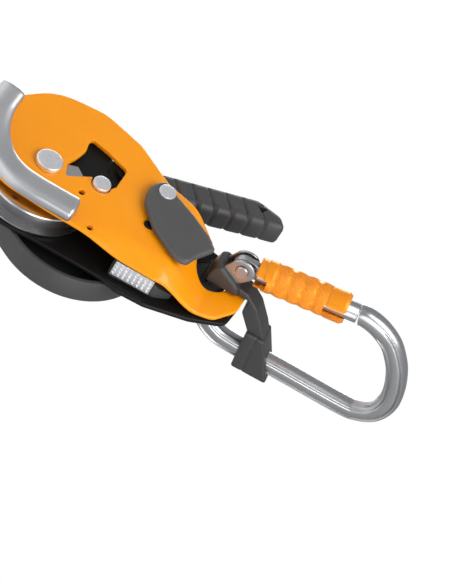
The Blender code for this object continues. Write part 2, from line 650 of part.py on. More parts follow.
def polar(radius, degrees, fillet=0.0):
    """A corner about the sheave axle."""
    return (AXLE[0] + radius * cos(radians(degrees)), AXLE[1] + radius * sin(radians(degrees)),
            fillet)


def window_outline():
    """Window about the axle: the stop pin runs along it as the plate swings aside."""
    heading = atan2(STOP[1] - AXLE[1], STOP[0] - AXLE[0]) * 180 / pi
    end = [(*p, 0) for p in arc(*STOP, STOP_PIN + 0.5, heading - 180, heading, 8)]
    reach = hypot(STOP[0] - AXLE[0], STOP[1] - AXLE[1])
    return rounded(end + [polar(reach + 7.3, 104), polar(reach + 13.7, 122.5, 3),
                          polar(reach + 7.9, 139), polar(reach + 4.8, 155.8, 1.5),
                          polar(reach + 1.2, 154.7, 1), polar(reach - 3.3, 147.5),
                          polar(20.5, 144.5), polar(16.1, 139.2), polar(10.0, 129, 1),
                          polar(10.0, 80, 1), polar(16.0, 99.3), polar(reach - 4.5, 107.5, 2)], 3)


def side_plate():
    pivot = (AXLE[0], 0, AXLE[1])
    columns = (-60, -20, 10, 20, 24, 28, 31, 34, 45)
    rows = [EYE_Z + z for z in (-AXLE_DROP - 47.4, -66, -59.5, -53, -46.5, -40, -24, -20, -15.5,
                                -11, -6.5, -2, 2, 30)]
    verts = []
    for offset in (0.0, PLATE):
        verts += [(x, plate_y(x, z) + offset, z) for z in rows for x in columns]
    wide, tall = len(columns), len(rows)
    layer = wide * tall
    faces = []
    for i in range(tall - 1):
        for j in range(wide - 1):
            for a in (i * wide + j, layer + i * wide + j):
                faces.append((a, a + 1, a + wide + 1))
                faces.append((a, a + wide + 1, a + wide))
    edge = [j for j in range(wide)] + [i * wide + wide - 1 for i in range(1, tall)]
    edge += [layer - 1 - j for j in range(1, wide)] + [i * wide for i in range(tall - 2, 0, -1)]
    for k, a in enumerate(edge):
        b = edge[(k + 1) % len(edge)]
        faces.append((a, b, layer + b, layer + a))
    plate = add("side_plate", mesh_from(verts, faces), "orange", pivot)
    combine(plate, prism(plate_outline(), -40, 20), "INTERSECT")
    cut(plate, prism(eye_outline(), -30, 10), prism(window_outline(), -30, 10),
        rod(AXLE_RADIUS + GAP, -30, 10, AXLE, 24),
        rod(BUTTON_RADIUS + GAP, -30, 10, BUTTON, 16),
        rod(2.0 + GAP, -30, 10, LATCH_PIVOT, 16),
        *[rod(SIGHT_HOLE, -30, 10, place, 14) for place in SIGHT_HOLES])
    for x, rise in HORN_RIVETS:
        cut(plate, rod(1.8 + GAP, -30, 10, (x, AXLE[1] + rise), 14))
    return plate


def friction_horn():
    """The bar the brake strand runs over: along the +X edge, then round the far end."""
    level = FRONT_Y - GAP - HORN_THICKNESS / 2
    route = [(27.6, 0, 22.6), (27.6, 0, 12.6), (27.4, 0, 0.6), (25.6, 0, -10.4),
             (20.5, -1.2, -20.4), (11.5, -4.0, -27.9), (0.0, -8.0, -31.4), (-12.0, -12.0, -30.4)]
    path = smooth_path([(x, level + y, AXLE[1] + z) for x, y, z in route], 3)
    horn = add("friction_horn", swept_bar(path, (0, 1, 0), HORN_THICKNESS, HORN_WIDTH),
               "aluminium", (AXLE[0], 0, AXLE[1]))
    for number, (x, rise) in enumerate(HORN_RIVETS, 1):
        where = (x, AXLE[1] + rise)
        cut(horn, rod(1.8 + GAP, FRONT_Y - 5.0, FRONT_Y + 2, where, 14))
        rivet = [(0, 0), (1.8, FRONT_Y - 4.6), (1.8, FRONT_Y + PLATE + 0.05), (0, 0)]
        add(f"horn_rivet_{number}", turned(rivet, (x, 0, where[1]), (0, 1, 0), 14), "steel")
    return horn


def latch_outline():
    return rounded(device([(-21.5, -40.5, 6), (-12, -46.5, 8), (-1, -44.5, 8), (10.5, -35.5, 10),
                           (20.5, -21, 8), (20.8, -14, 4), (14.5, -11.6, 3), (3.8, -4.8, 2),
                           (-2.5, -10.5, 3), (-9.3, -20.5, 6), (-15.5, -32, 6)]), 4)


def latch_parts():
    pivot = (LATCH_PIVOT[0], 0, LATCH_PIVOT[1])
    latch = add("latch", prism(latch_outline(), LATCH_FRONT, LATCH_BACK), "plastic", pivot)
    soften(latch, 0.8, 1, 50)
    cut(latch, rod(2.0 + GAP, -40, 0, LATCH_PIVOT, 16),
        rod(RIVET_HEAD + GAP, -40, LATCH_FRONT + 1.4, LATCH_PIVOT, 24))
    cut(latch, rod(4.3, LATCH_BACK - 1.5, 0, LATCH_PIVOT, 20))
    add("latch_spring", coil((LATCH_PIVOT[0], LATCH_BACK - 0.75, LATCH_PIVOT[1]), (0, 1, 0), 3.3,
                             0.6, 1.2, 0.7, 5, 12), "steel", pivot)
    rivet = [(0, 0), (RIVET_HEAD - 0.4, LATCH_FRONT - 0.6), (RIVET_HEAD, LATCH_FRONT - 0.2),
             (RIVET_HEAD, LATCH_FRONT + 1.0), (2.0, LATCH_FRONT + 1.0),
             (2.0, FRONT_Y + PLATE + 0.1), (0, 0)]
    add("latch_rivet", turned(rivet, pivot, (0, 1, 0)), "steel")
    button = [(0, 0), (BUTTON_RADIUS - 0.4, FRONT_Y - 0.3), (BUTTON_RADIUS, FRONT_Y + 0.1),
              (BUTTON_RADIUS, FRONT_Y + PLATE - 0.1), (0, 0)]
    add("catch_button", turned(button, (BUTTON[0], 0, BUTTON[1]), (0, 1, 0), 16), "black",
        (BUTTON[0], 0, BUTTON[1]))


# ---- handle --------------------------------------------------------------------------
def along_handle(distance, side=0.0):
    """A point in the XZ plane: along the handle from its hub, and outward from its middle."""
    lean = radians(HANDLE_TILT)
    return (HUB[0] - distance * sin(lean) - side * cos(lean),
            HUB[1] + distance * cos(lean) - side * sin(lean))


def handle_parts():
    pivot = (HUB[0], 0, HUB[1])
    half = HANDLE_WIDTH / 2
    start = 17.0
    end = HANDLE_LENGTH
    grip_outline = rounded([(*along_handle(start, -half), 2), (*along_handle(start, half), 2),
                            (*along_handle(end - 15, half), 4), (*along_handle(end - 3, 0.5), 5),
                            (*along_handle(end - 1, -half), 5)], 4)
    grip = add("handle_grip", prism(grip_outline, HANDLE_FRONT, HANDLE_REAR), "plastic", pivot)
    socket = [along_handle(start - 1, -4.0), along_handle(start - 1, 4.0),
              along_handle(end - 22, 4.0), along_handle(end - 22, -4.0)]
    eye = [along_handle(end - 16.5, 3.6), along_handle(end - 10.5, 1.6),
           along_handle(end - 14.5, -0.6)]
    soften(grip, 2.2, 2, 50)
    cut(grip, prism(socket, HANDLE_FRONT + 4.0, HANDLE_REAR - 4.0), prism(eye, -30, 10))
    core_outline = [along_handle(0, -5.5), along_handle(10, -3.7), along_handle(end - 22.5, -3.7),
                    along_handle(end - 22.5, 3.7), along_handle(10, 3.7), along_handle(0, 5.5)]
    core = add("handle_lever", prism(core_outline, HANDLE_FRONT + 4 + GAP, HANDLE_REAR - 4 - GAP),
               "black", pivot)
    join(core, rod(HUB_RADIUS, HANDLE_FRONT + 0.6, HANDLE_REAR - 0.2, HUB, 28))
    cut(core, rod(3.2 + GAP, -30, 10, HUB, 20), rod(7.2, HANDLE_REAR - 3.4, 10, HUB, 24))
    add("handle_spring", coil((HUB[0], HANDLE_REAR - 2.6, HUB[1]), (0, 1, 0), 5.6, 0.9, 1.75,
                              2.2, 5, 12), "steel")
    bolt = [(0, 0), (5.5, HANDLE_FRONT - 1.3), (5.5, HANDLE_FRONT + 0.2),
            (3.2, HANDLE_FRONT + 0.2), (3.2, REAR_PLATE + 3.4), (0, 0)]
    add("handle_bolt", turned(bolt, pivot, (0, 1, 0)), "black")
    nut = add("handle_nut", rod(5.8, REAR_PLATE + GAP, REAR_PLATE + 3.2, HUB, 6), "steel")
    cut(nut, rod(3.2 + GAP, 0, 10, HUB, 20))
    pin = along_handle(30.0)
    cut(grip, rod(1.3 + GAP, -30, 10, pin, 14))
    cut(core, rod(1.3 + GAP, -30, 10, pin, 14))
    add("grip_pin", rod(1.3, HANDLE_FRONT + 0.5, HANDLE_REAR - 0.5, pin, 14), "steel", pivot)


def finish_shading():
    for item in bpy.data.objects:
        if item.type == "MESH":
            item.data.shade_smooth()
            item.data.set_sharp_from_angle(angle=radians(32))


def main():
    clear_scene()
    connector_frame()
    gate_parts()
    sleeve_parts()
    positioning_bar()
    rear_plate()
    rear_guard()
    axle_parts()
    inner_cover()
    pad_block()
    friction_pad()
    sheave_parts()
    release_cam()
    side_plate()
    friction_horn()
    latch_parts()
    handle_parts()
    finish_shading()


main()
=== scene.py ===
"""Finished surfaces and materials of a rope pulley hanging on its locking connector."""

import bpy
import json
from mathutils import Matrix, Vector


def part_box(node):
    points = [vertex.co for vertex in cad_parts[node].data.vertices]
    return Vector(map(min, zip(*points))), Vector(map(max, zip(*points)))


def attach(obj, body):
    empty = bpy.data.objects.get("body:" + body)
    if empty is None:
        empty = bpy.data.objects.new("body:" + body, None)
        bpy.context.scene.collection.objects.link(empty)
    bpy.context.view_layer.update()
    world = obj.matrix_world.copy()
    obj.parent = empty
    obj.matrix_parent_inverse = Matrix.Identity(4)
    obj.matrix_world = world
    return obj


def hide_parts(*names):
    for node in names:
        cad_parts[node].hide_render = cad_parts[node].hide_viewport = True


bl_info = {
    "name": "Rope pulley",
    "version": (1, 0, 0),
    "blender": (4, 5, 0),
    "location": "View3D > Sidebar > Pulley",
    "description": "Makes the visible pieces of a progress-capture rope pulley",
    "category": "Add Mesh",
}

import json

import bmesh
import bpy
import numpy as np
from bpy.props import FloatProperty, FloatVectorProperty, IntProperty, PointerProperty
from mathutils import Matrix, Vector, geometry

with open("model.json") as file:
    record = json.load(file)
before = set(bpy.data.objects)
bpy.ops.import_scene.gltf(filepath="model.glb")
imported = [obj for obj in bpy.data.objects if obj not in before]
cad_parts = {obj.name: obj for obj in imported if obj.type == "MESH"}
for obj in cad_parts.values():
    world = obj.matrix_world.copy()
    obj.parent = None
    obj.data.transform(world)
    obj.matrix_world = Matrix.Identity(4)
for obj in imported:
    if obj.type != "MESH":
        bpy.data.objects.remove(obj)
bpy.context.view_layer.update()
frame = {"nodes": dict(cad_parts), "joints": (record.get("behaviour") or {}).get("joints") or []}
MM = 0.001
TAU = 2 * np.pi
JOINTS = {joint["name"]: joint for joint in frame["joints"]}


def joint_at(name):
    """Where a joint stands, in millimetres."""
    return np.array(JOINTS[name]["pos_m"]) / MM


def low(node, axis):
    """Lowest coordinate of a frame piece along one axis, in millimetres."""
    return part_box(node)[0][axis] / MM


def high(node, axis):
    """Highest coordinate of a frame piece along one axis, in millimetres."""
    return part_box(node)[1][axis] / MM


X, Y, Z = 0, 1, 2
EYE_Z = joint_at("device_swing")[Z]
AXLE = joint_at("sheave_spin")[[X, Z]]
LATCH = joint_at("latch_open")[[X, Z]]
HUB = joint_at("handle_turn")[[X, Z]]
PIVOT = joint_at("gate_open")[[Y, Z]]
GATE_AXIS = np.array(JOINTS["sleeve_twist"]["axis"])
STOP = (np.array([low("stop_pin", X) + high("stop_pin", X),
                  low("stop_pin", Z) + high("stop_pin", Z)]) / 2)
EYE_RADIUS = 10.0                          # attachment hole
NOSE = np.array([-28.6, -30.4])            # end of the connector's nose, in the YZ plane
BAR_WIDTH, BAR_DEPTH = 8.6, 10.4           # connector bar, across and in its own plane
CHEEK_INNER = 3.0                          # half the slot between the cheeks at the rivet
GATE_RADIUS, GATE_GAP = 4.7, 0.5
SLEEVE_START, SLEEVE_END = 6.9, 52.4       # along the gate, from its rivet
SLEEVE_BORE, SLEEVE_POCKET, SLEEVE_RECESS = 5.0, 6.7, 6.6
SLOT_HALF = 3.1                            # half width of the slots in the sleeve's ends
HANDLE_LEAN = np.radians(20.3)
GRIP_START, GRIP_END, GRIP_HALF = 17.0, 84.0, 7.7
GRIP_PITCH = 8.85                          # from one groove of the grip to the next
SHEAVE_FRONT, SHEAVE_REAR = -13.3, -0.6    # outer faces of the sheave's flanges
SHEAVE_RADIUS, GROOVE_DEPTH, FLANGE_RIM = 30.0, 9.0, 1.1
PLATE, TIP_Y = 2.3, -3.5                   # side plate: thickness, outer face at the hole
HORN_WIDTH, HORN_THICKNESS = 13.0, 8.4
GUARD_RADIUS, GUARD_END_RADIUS, GUARD_WALL = 40.0, 24.0, 2.2


# ---- outlines in a plane, millimetres ------------------------------------------------
def arc(centre, radius, start, end, steps=16):
    """Points on a circle: centre plus radius times (cos, sin) of evenly spaced angles."""
    turn = np.radians(np.linspace(start, end, steps + 1))
    return np.c_[centre[0] + radius * np.cos(turn), centre[1] + radius * np.sin(turn)]


def rounded(corners, steps=10):
    """An outline whose corners (a, b, fillet) are quadratic curves between tangent points."""
    t = np.linspace(0, 1, steps + 1)[:, None]
    count, runs = len(corners), []
    for i, (a, b, fillet) in enumerate(corners):
        here = np.array([a, b], float)
        if fillet <= 0:
            runs.append(here[None])
            continue
        back = np.array(corners[i - 1][:2]) - here
        ahead = np.array(corners[(i + 1) % count][:2]) - here
        lengths = np.linalg.norm(back), np.linalg.norm(ahead)
        back, ahead = back / lengths[0], ahead / lengths[1]
        half = np.arccos(np.clip(back @ ahead, -1, 1)) / 2
        reach = min(fillet / max(np.tan(half), 1e-6), lengths[0] * 0.49, lengths[1] * 0.49)
        runs.append((here + back * reach) * (1 - t) ** 2 + here * 2 * t * (1 - t)
                    + (here + ahead * reach) * t ** 2)
    return np.vstack(runs)


def belt(one, radius_one, two, radius_two, steps=40):
    """The outline of a belt around two circles."""
    away = np.subtract(two, one)
    heading = np.degrees(np.arctan2(away[1], away[0]))
    lean = np.degrees(np.arccos((radius_one - radius_two) / np.hypot(*away)))
    return np.vstack([arc(one, radius_one, heading + lean, heading + 360 - lean, steps),
                      arc(two, radius_two, heading - lean, heading + lean, steps)])


def even(outline, spacing):
    """The same closed outline at even steps along its length."""
    closed = np.vstack([outline, outline[:1]])
    run = np.r_[0, np.cumsum(np.hypot(*np.diff(closed, axis=0).T))]
    count = max(int(run[-1] / spacing), 12)
    at = np.linspace(0, run[-1], count, endpoint=False)
    return np.c_[np.interp(at, run, closed[:, 0]), np.interp(at, run, closed[:, 1])]


def area(outline):
    """Signed area: half the sum of cross products of neighbouring points."""
    ahead = np.roll(outline, -1, 0)
    return 0.5 * np.sum(outline[:, 0] * ahead[:, 1] - outline[:, 1] * ahead[:, 0])


def inside(points, outline):
    """Which points lie inside a closed outline: an odd number of crossings to the right."""
    x, y = points[:, :1], points[:, 1:]
    a, b = outline, np.roll(outline, -1, 0)
    spans = (a[:, 1] > y) != (b[:, 1] > y)
    rise = np.where(b[:, 1] == a[:, 1], 1e-12, b[:, 1] - a[:, 1])
    cross = x < (b[:, 0] - a[:, 0]) * (y - a[:, 1]) / rise + a[:, 0]
    return (spans & cross).sum(1) % 2 == 1


def distance(points, line, batch=4000):
    """How far each point lies from the nearest point of a line, in batches of points."""
    parts = np.array_split(points, max(len(points) // batch, 1))
    return np.concatenate([np.hypot(part[:, :1] - line[:, 0], part[:, 1:] - line[:, 1]).min(1)
                           for part in parts])


def into_material(loop):
    """Unit normals that point into the material, which lies left of the loop's direction."""
    along = np.roll(loop, -1, 0) - np.roll(loop, 1, 0)
    along /= np.maximum(np.linalg.norm(along, axis=1, keepdims=True), 1e-9)
    return np.c_[-along[:, 1], along[:, 0]]


def smooth(points, per_span=10):
    """A Catmull-Rom curve through given points, as one array."""
    p = np.vstack([points[:1], points, points[-1:]]).astype(float)
    t = np.linspace(0, 1, per_span, endpoint=False)[:, None, None]
    a, b, c, d = p[:-3], p[1:-2], p[2:-1], p[3:]
    curve = 0.5 * (2 * b + (c - a) * t + (2 * a - 5 * b + 4 * c - d) * t ** 2
                   + (3 * b - a - 3 * c + d) * t ** 3)
    return np.vstack([curve.transpose(1, 0, 2).reshape(-1, p.shape[1]), p[-1:]])


# ---- surfaces ------------------------------------------------------------------------
class Skin:
    """Vertices and faces gathered from several surfaces that make one piece."""

    def __init__(self):
        self.points, self.faces, self.count = [], [], 0

    def grid(self, rows, wrap=True, closed=False):
        """Quads over an array of rows of points; wrap joins each row's end to its start."""
        tall, wide = rows.shape[:2]
        index = np.arange(tall * wide).reshape(tall, wide) + self.count
        if wrap:
            index = np.c_[index, index[:, :1]]
        if closed:
            index = np.vstack([index, index[:1]])
        quads = np.stack([index[:-1, :-1], index[:-1, 1:], index[1:, 1:], index[1:, :-1]], -1)
        self.add(rows.reshape(-1, 3), quads.reshape(-1, 4))

    def add(self, points, faces):
        self.points.append(np.asarray(points, float))
        self.faces.extend(map(tuple, np.asarray(faces).tolist()))
        self.count += len(points)

    def fan(self, ring):
        """A flat lid over a ring of points, round its middle."""
        k = np.arange(len(ring))
        middle = np.full(len(ring), len(ring))
        self.add(np.vstack([ring, ring.mean(0)]),
                 np.c_[k, np.roll(k, -1), middle] + self.count)


def lift(flat, level, axis):
    """Points of a plane placed in space: the plane lies across the axis, at a level."""
    a, b = flat[:, 0], flat[:, 1]
    level = np.broadcast_to(level, a.shape)
    return np.stack([level, a, b] if axis == X else [a, level, b], -1)


def lid(skin, loops, level, axis, spacing):
    """A triangulated face between loops, with inner points on a square grid."""
    outer = loops[0]
    lo, hi = outer.min(0), outer.max(0)
    grid = np.stack(np.meshgrid(np.arange(lo[0], hi[0], spacing),
                                np.arange(lo[1], hi[1], spacing)), -1).reshape(-1, 2)
    keep = inside(grid, outer)
    for hole in loops[1:]:
        keep &= ~inside(grid, hole)
    grid = grid[keep]
    border = np.vstack(loops)
    grid = grid[distance(grid, border) > spacing * 0.55]
    edges, start = [], 0
    for loop in loops:
        k = np.arange(len(loop))
        edges += np.c_[k + start, np.roll(k, -1) + start].tolist()
        start += len(loop)
    cloud = [Vector(p) for p in np.vstack([border, grid]).tolist()]
    verts, _, faces, *_ = geometry.delaunay_2d_cdt(cloud, edges, [], 1, 1e-6)
    verts, faces = np.array([tuple(v) for v in verts]), np.array(faces)
    middle = verts[faces].mean(1)
    keep = np.ones(len(faces), bool)
    for hole in loops[1:]:
        keep &= ~inside(middle, hole)
    skin.add(lift(verts, level(verts), axis), faces[keep] + skin.count)


def slab(skin, outline, front, back, edge, holes=(), axis=Y, spacing=1.6, step=0.6,
         hole_edge=0.35):
    """A sheet between two faces, with every edge rounded to a radius.

    Each loop is offset into the material by r(1 - cos t) and sunk by r(1 - sin t), with t
    from 0 to a quarter turn, on both faces. front and back are numbers or functions of the
    two plane coordinates.
    """
    faces = [f if callable(f) else (lambda p, f=f: np.full(len(p), float(f)))
             for f in (front, back)]
    loops = [even(np.asarray(o), step) for o in (outline, *holes)]
    loops = [loop if (area(loop) > 0) == (i == 0) else loop[::-1]
             for i, loop in enumerate(loops)]
    sweep = np.linspace(0, np.pi / 2, 4)
    sense = np.sign((faces[1](loops[0]) - faces[0](loops[0])).mean())
    rims = [[], []]
    for number, loop in enumerate(loops):
        normal = into_material(loop)
        bend = min(edge, hole_edge) if number else edge
        sides = []
        for face, toward in ((faces[0], sense), (faces[1], -sense)):
            rings = [loop + normal * bend * (1 - np.cos(t)) for t in sweep]
            sides.append([lift(r, face(r) + toward * bend * (1 - np.sin(t)), axis)
                          for r, t in zip(rings, sweep)])
        skin.grid(np.array(sides[0][::-1] + sides[1]))
        for k in (0, 1):
            rims[k].append(loop + normal * bend)
    for k in (0, 1):
        lid(skin, rims[k], faces[k], axis, spacing)


def shell(skin, outline, rings, spacing=3.0):
    """A surface over offsets of one outline: (inset, y) pairs, with a lid at both ends."""
    loop = even(np.asarray(outline), 1.2)
    loop = loop if area(loop) > 0 else loop[::-1]
    normal = into_material(loop)
    rows = [loop + normal * inset for inset, _ in rings]
    skin.grid(np.array([lift(r, y, Y) for r, (_, y) in zip(rows, rings)]))
    for row, (_, y) in ((rows[0], rings[0]), (rows[-1], rings[-1])):
        lid(skin, [row], lambda p, y=y: np.full(len(p), y), Y, spacing)


def turn_frame(axis):
    """Rotation that carries +Z to an axis."""
    turn = Vector((0, 0, 1)).rotation_difference(Vector(axis)).to_matrix()
    return np.array(turn)


def turned(skin, profile, centre, axis, sides=72):
    """A surface of revolution: each (radius, distance) of the profile goes round the axis."""
    a = np.linspace(0, TAU, sides, endpoint=False)
    r, s = np.asarray(profile, float).T
    ring = np.stack([r[:, None] * np.cos(a), r[:, None] * np.sin(a),
                     np.broadcast_to(s[:, None], (len(r), sides))], -1)
    ring = ring @ turn_frame(axis).T + centre
    skin.grid(ring, closed=profile[0][0] > 0)


def swept(skin, path, width_dir, section, ends=0.0):
    """A section (rows of u, v for each path point) carried along a path.

    u lies along width_dir and v across it; the first and last stretch shrink as
    sqrt(1 - (1 - t)^2) to round the ends off over a length.
    """
    along = np.gradient(path, axis=0)
    along /= np.linalg.norm(along, axis=1, keepdims=True)
    u = np.asarray(width_dir, float) - along * (along @ np.asarray(width_dir, float))[:, None]
    u /= np.linalg.norm(u, axis=1, keepdims=True)
    v = np.cross(along, u)
    run = np.r_[0, np.cumsum(np.linalg.norm(np.diff(path, axis=0), axis=1))]
    scale = np.ones(len(path))
    if ends:
        t = np.clip(np.minimum(run, run[-1] - run) / ends, 0.02, 1)
        scale = np.sqrt(1 - (1 - t) ** 2)
    rows = (path[:, None] + section[..., :1] * u[:, None] * scale[:, None, None]
            + section[..., 1:] * v[:, None] * scale[:, None, None])
    skin.grid(rows)
    skin.fan(rows[0])
    skin.fan(rows[-1])


def superellipse(width, depth, power, count=40):
    """Points (u, v) with |2u/width|^p + |2v/depth|^p = 1."""
    a = np.linspace(0, TAU, count, endpoint=False)
    c, s = np.cos(a), np.sin(a)
    return np.stack([width / 2 * np.sign(c) * np.abs(c) ** (2 / power),
                     depth / 2 * np.sign(s) * np.abs(s) ** (2 / power)], -1)


def link(name, skin):
    """An object with a skin's surfaces, joined along their seams and facing outward."""
    mesh = bpy.data.meshes.new(name)
    mesh.from_pydata((np.vstack(skin.points) * MM).tolist(), [], skin.faces)
    work = bmesh.new()
    work.from_mesh(mesh)
    bmesh.ops.remove_doubles(work, verts=work.verts, dist=2e-6)
    bmesh.ops.dissolve_degenerate(work, edges=work.edges, dist=1e-7)
    bmesh.ops.recalc_face_normals(work, faces=work.faces)
    work.to_mesh(mesh)
    work.free()
    made = bpy.data.objects.new(name, mesh)
    bpy.context.scene.collection.objects.link(made)
    return made


def piece(name, skin, body, nodes, material, sharp=40):
    """Make a piece, hang it on its body and hide the frame pieces it stands for."""
    made = link(name, skin)
    made.data.shade_smooth()
    made.data.set_sharp_from_angle(angle=np.radians(sharp))
    made.data.materials.append(material)
    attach(made, body)
    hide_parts(*nodes)
    return made


# ---- materials -----------------------------------------------------------------------
class Sock:
    """A node socket that can be used in sums and products."""

    def __init__(self, tree, socket):
        self.tree, self.socket = tree, socket

    def math(self, operation, *values):
        made = self.tree.nodes.new("ShaderNodeMath")
        made.operation = operation
        for slot, value in zip(made.inputs, values):
            if isinstance(value, Sock):
                self.tree.links.new(value.socket, slot)
            else:
                slot.default_value = value
        return Sock(self.tree, made.outputs[0])

    def __add__(self, other):
        return self.math("ADD", self, other)

    __radd__ = __add__

    def __sub__(self, other):
        return self.math("SUBTRACT", self, other)

    def __rsub__(self, other):
        return self.math("SUBTRACT", other, self)

    def __mul__(self, other):
        return self.math("MULTIPLY", self, other)

    __rmul__ = __mul__


class Finish:
    """A material under construction, round one Principled BSDF."""

    def __init__(self, name, colour, metallic, roughness, coat=0.0, specular=0.5):
        self.material = bpy.data.materials.new(name)
        self.material.use_nodes = True
        self.tree = self.material.node_tree
        self.shader = self.tree.nodes["Principled BSDF"]
        self.colour = (*colour, 1.0)
        self.set("Base Color", self.colour)
        self.set("Metallic", metallic)
        self.set("Roughness", roughness)
        self.set("Coat Weight", coat)
        self.set("Coat Roughness", 0.08)
        self.set("Specular IOR Level", specular)

    def set(self, socket, value):
        slot = self.shader.inputs[socket]
        if isinstance(value, Sock):
            self.tree.links.new(value.socket, slot)
        else:
            slot.default_value = value

    def node(self, kind, settings=None, inputs=None, output=0):
        made = self.tree.nodes.new(kind)
        for key, value in (settings or {}).items():
            setattr(made, key, value)
        for key, value in (inputs or {}).items():
            if isinstance(value, Sock):
                self.tree.links.new(value.socket, made.inputs[key])
            else:
                made.inputs[key].default_value = value
        return Sock(self.tree, made.outputs[output])

    def place(self, offset=(0, 0, 0), stretch=(1, 1, 1)):
        """Object coordinates, moved and stretched."""
        raw = self.node("ShaderNodeTexCoord", output="Object")
        return self.node("ShaderNodeMapping", inputs={
            "Vector": raw, "Location": offset, "Scale": stretch})

    def noise(self, scale, detail=3.0, vector=None):
        return self.node("ShaderNodeTexNoise", inputs={
            "Vector": vector or self.place(), "Scale": scale, "Detail": detail})

    def tint(self, amount, factor):
        """Base colour that drifts between itself and a darker tone."""
        dark = tuple(c * amount for c in self.colour[:3]) + (1.0,)
        mixed = self.node("ShaderNodeMix", {"data_type": "RGBA"},
                          {"Factor": factor, 6: self.colour, 7: dark}, output=2)
        self.set("Base Color", mixed)

    def bump(self, height, distance, strength=1.0):
        self.set("Normal", self.node("ShaderNodeBump", inputs={
            "Height": height, "Distance": distance, "Strength": strength}))


def painted(looks):
    """Gloss paint: faint orange peel, and a slow drift of gloss and tone."""
    finish = Finish("gloss_orange", looks.plate_colour, 0.0, 0.3, 0.15, 0.4)
    slow = finish.noise(45.0, 2.0)
    finish.set("Roughness", slow * 0.12 + 0.26)
    finish.tint(0.84, slow * 0.5)
    finish.bump(finish.noise(900.0, 2.0), 0.00002, 0.5)
    return finish.material


def anodised(looks):
    """Dyed aluminium: metallic, satin, with fine grain."""
    finish = Finish("dyed_aluminium", looks.sleeve_colour, 0.25, 0.34)
    finish.set("Roughness", finish.noise(300.0) * 0.16 + 0.27)
    finish.tint(0.82, finish.noise(120.0))
    finish.bump(finish.noise(4000.0, 2.0), 0.00001, 0.5)
    return finish.material


def forged(name, tone, roughness, stretch=(1, 1, 1)):
    """Polished or brushed metal: grain drawn out along one direction."""
    finish = Finish(name, (tone, tone, tone * 1.015), 1.0, roughness)
    grain = finish.noise(1500.0, 3.0, finish.place(stretch=stretch))
    finish.set("Roughness", finish.noise(90.0) * 0.08 + grain * 0.06 + (roughness - 0.06))
    finish.tint(0.9, finish.noise(60.0) * 0.6)
    finish.bump(grain, 0.000003, 0.3)
    return finish.material


def faced(name, centre, axis, tone=0.95):
    """Metal faced on a lathe: rings round the piece's own axis."""
    finish = Finish(name, (tone, tone, tone * 1.01), 0.85, 0.3)
    flat = (0, 1, 1) if axis == X else (1, 0, 1)
    spot = np.asarray(centre) * MM * np.asarray(flat)
    radius = finish.node("ShaderNodeVectorMath", {"operation": "LENGTH"},
                         {0: finish.place(tuple(-spot), flat)}, output="Value")
    rings = radius.math("SINE", radius * 16000.0)
    finish.set("Roughness", rings * 0.05 + finish.noise(200.0) * 0.1 + 0.26)
    finish.bump(rings, 0.000012, 0.5)
    return finish.material


def moulded(name, colour, roughness=0.5, specular=0.5):
    """Moulded plastic: fine spark-eroded grain and slight unevenness of tone."""
    finish = Finish(name, colour, 0.0, roughness, 0.0, specular)
    finish.set("Roughness", finish.noise(250.0) * 0.16 + (roughness - 0.08))
    finish.tint(0.8, finish.noise(70.0) * 0.8)
    finish.bump(finish.noise(2600.0, 2.0), 0.00003, 0.45)
    return finish.material


def sheave_groove_shade():
    """The sheave: light flanges, and a duller groove whose colour darkens toward its middle as
    painted shade.
    """
    finish = Finish("sheave_metal", (0.72, 0.72, 0.73), 1.0, 0.25)
    middle = (SHEAVE_FRONT + SHEAVE_REAR) / 2
    split = finish.node("ShaderNodeSeparateXYZ", inputs={0: finish.place()}, output="Y")
    off = (split - middle * MM).math("ABSOLUTE", split - middle * MM)
    # mask of the groove, 1 across its middle: it drives the painted shade and the roughness
    groove = (0.0050 - off) * 1400.0
    groove = groove.math("MINIMUM", groove.math("MAXIMUM", groove, 0.0), 1.0)
    # painted shade: the base colour darkens to 0.4 of itself in the groove
    finish.tint(0.4, groove)
    finish.set("Roughness", groove * 0.2 + finish.noise(200.0) * 0.08 + 0.2)
    finish.bump(finish.noise(1800.0), 0.00001, 0.5)
    return finish.material


SHARED = {}


def material(name):
    """A finish shared by several pieces, made when it is first asked for."""
    looks = bpy.context.scene.pulley_looks
    makers = {
        "paint": lambda: painted(looks),
        "sleeve": lambda: anodised(looks),
        "polished": lambda: forged("polished_aluminium", looks.metal_tone, 0.33),
        "horn": lambda: forged("satin_aluminium", 0.70, 0.34, (1, 1, 0.08)),
        "steel": lambda: forged("ground_steel", 0.62, 0.30),
        # painted light: the friction pad's steel gets a much lighter tone than the other steel, to
        # make up for the shade it sits in
        "pad": lambda: forged("steel_lightened_as_painted_light", 0.95, 0.42),
        "spring": lambda: forged("spring_wire", 0.55, 0.28),
        "plastic": lambda: moulded("grey_moulding", looks.plastic_colour),
        "latch": lambda: moulded("latch_moulding", [c * 1.6 for c in looks.plastic_colour], 0.42),
        "clip": lambda: moulded("clip_moulding", (0.04, 0.039, 0.039), 0.45),
        "black": lambda: moulded("black_moulding", (0.005, 0.005, 0.005), 0.42, 0.25),
        "coated": lambda: moulded("black_coating", (0.006, 0.006, 0.006), 0.4, 0.25),
        "bush": lambda: forged("bush_metal", 0.5, 0.35),
    }
    if name not in SHARED:
        SHARED[name] = makers[name]()
    return SHARED[name]


# ---- places --------------------------------------------------------------------------
def device(corners):
    """(x, height above the attachment hole, fillet) corners in world heights."""
    return [(x, EYE_Z + z, r) for x, z, r in corners]


def about_axle(corners):
    """(x, height above the axle, fillet) corners in world heights."""
    return [(x, AXLE[1] + z, r) for x, z, r in corners]


def polar(radius, degrees, fillet=0.0):
    """A corner about the sheave axle."""
    a = np.radians(degrees)
    return (AXLE[0] + radius * np.cos(a), AXLE[1] + radius * np.sin(a), fillet)


def along_gate(distance, side=0.0):
    """A point in the YZ plane, so far along the gate and so far inward."""
    y, z = GATE_AXIS[Y], GATE_AXIS[Z]
    return np.array([PIVOT[0] + distance * y + side * z, PIVOT[1] + distance * z - side * y])


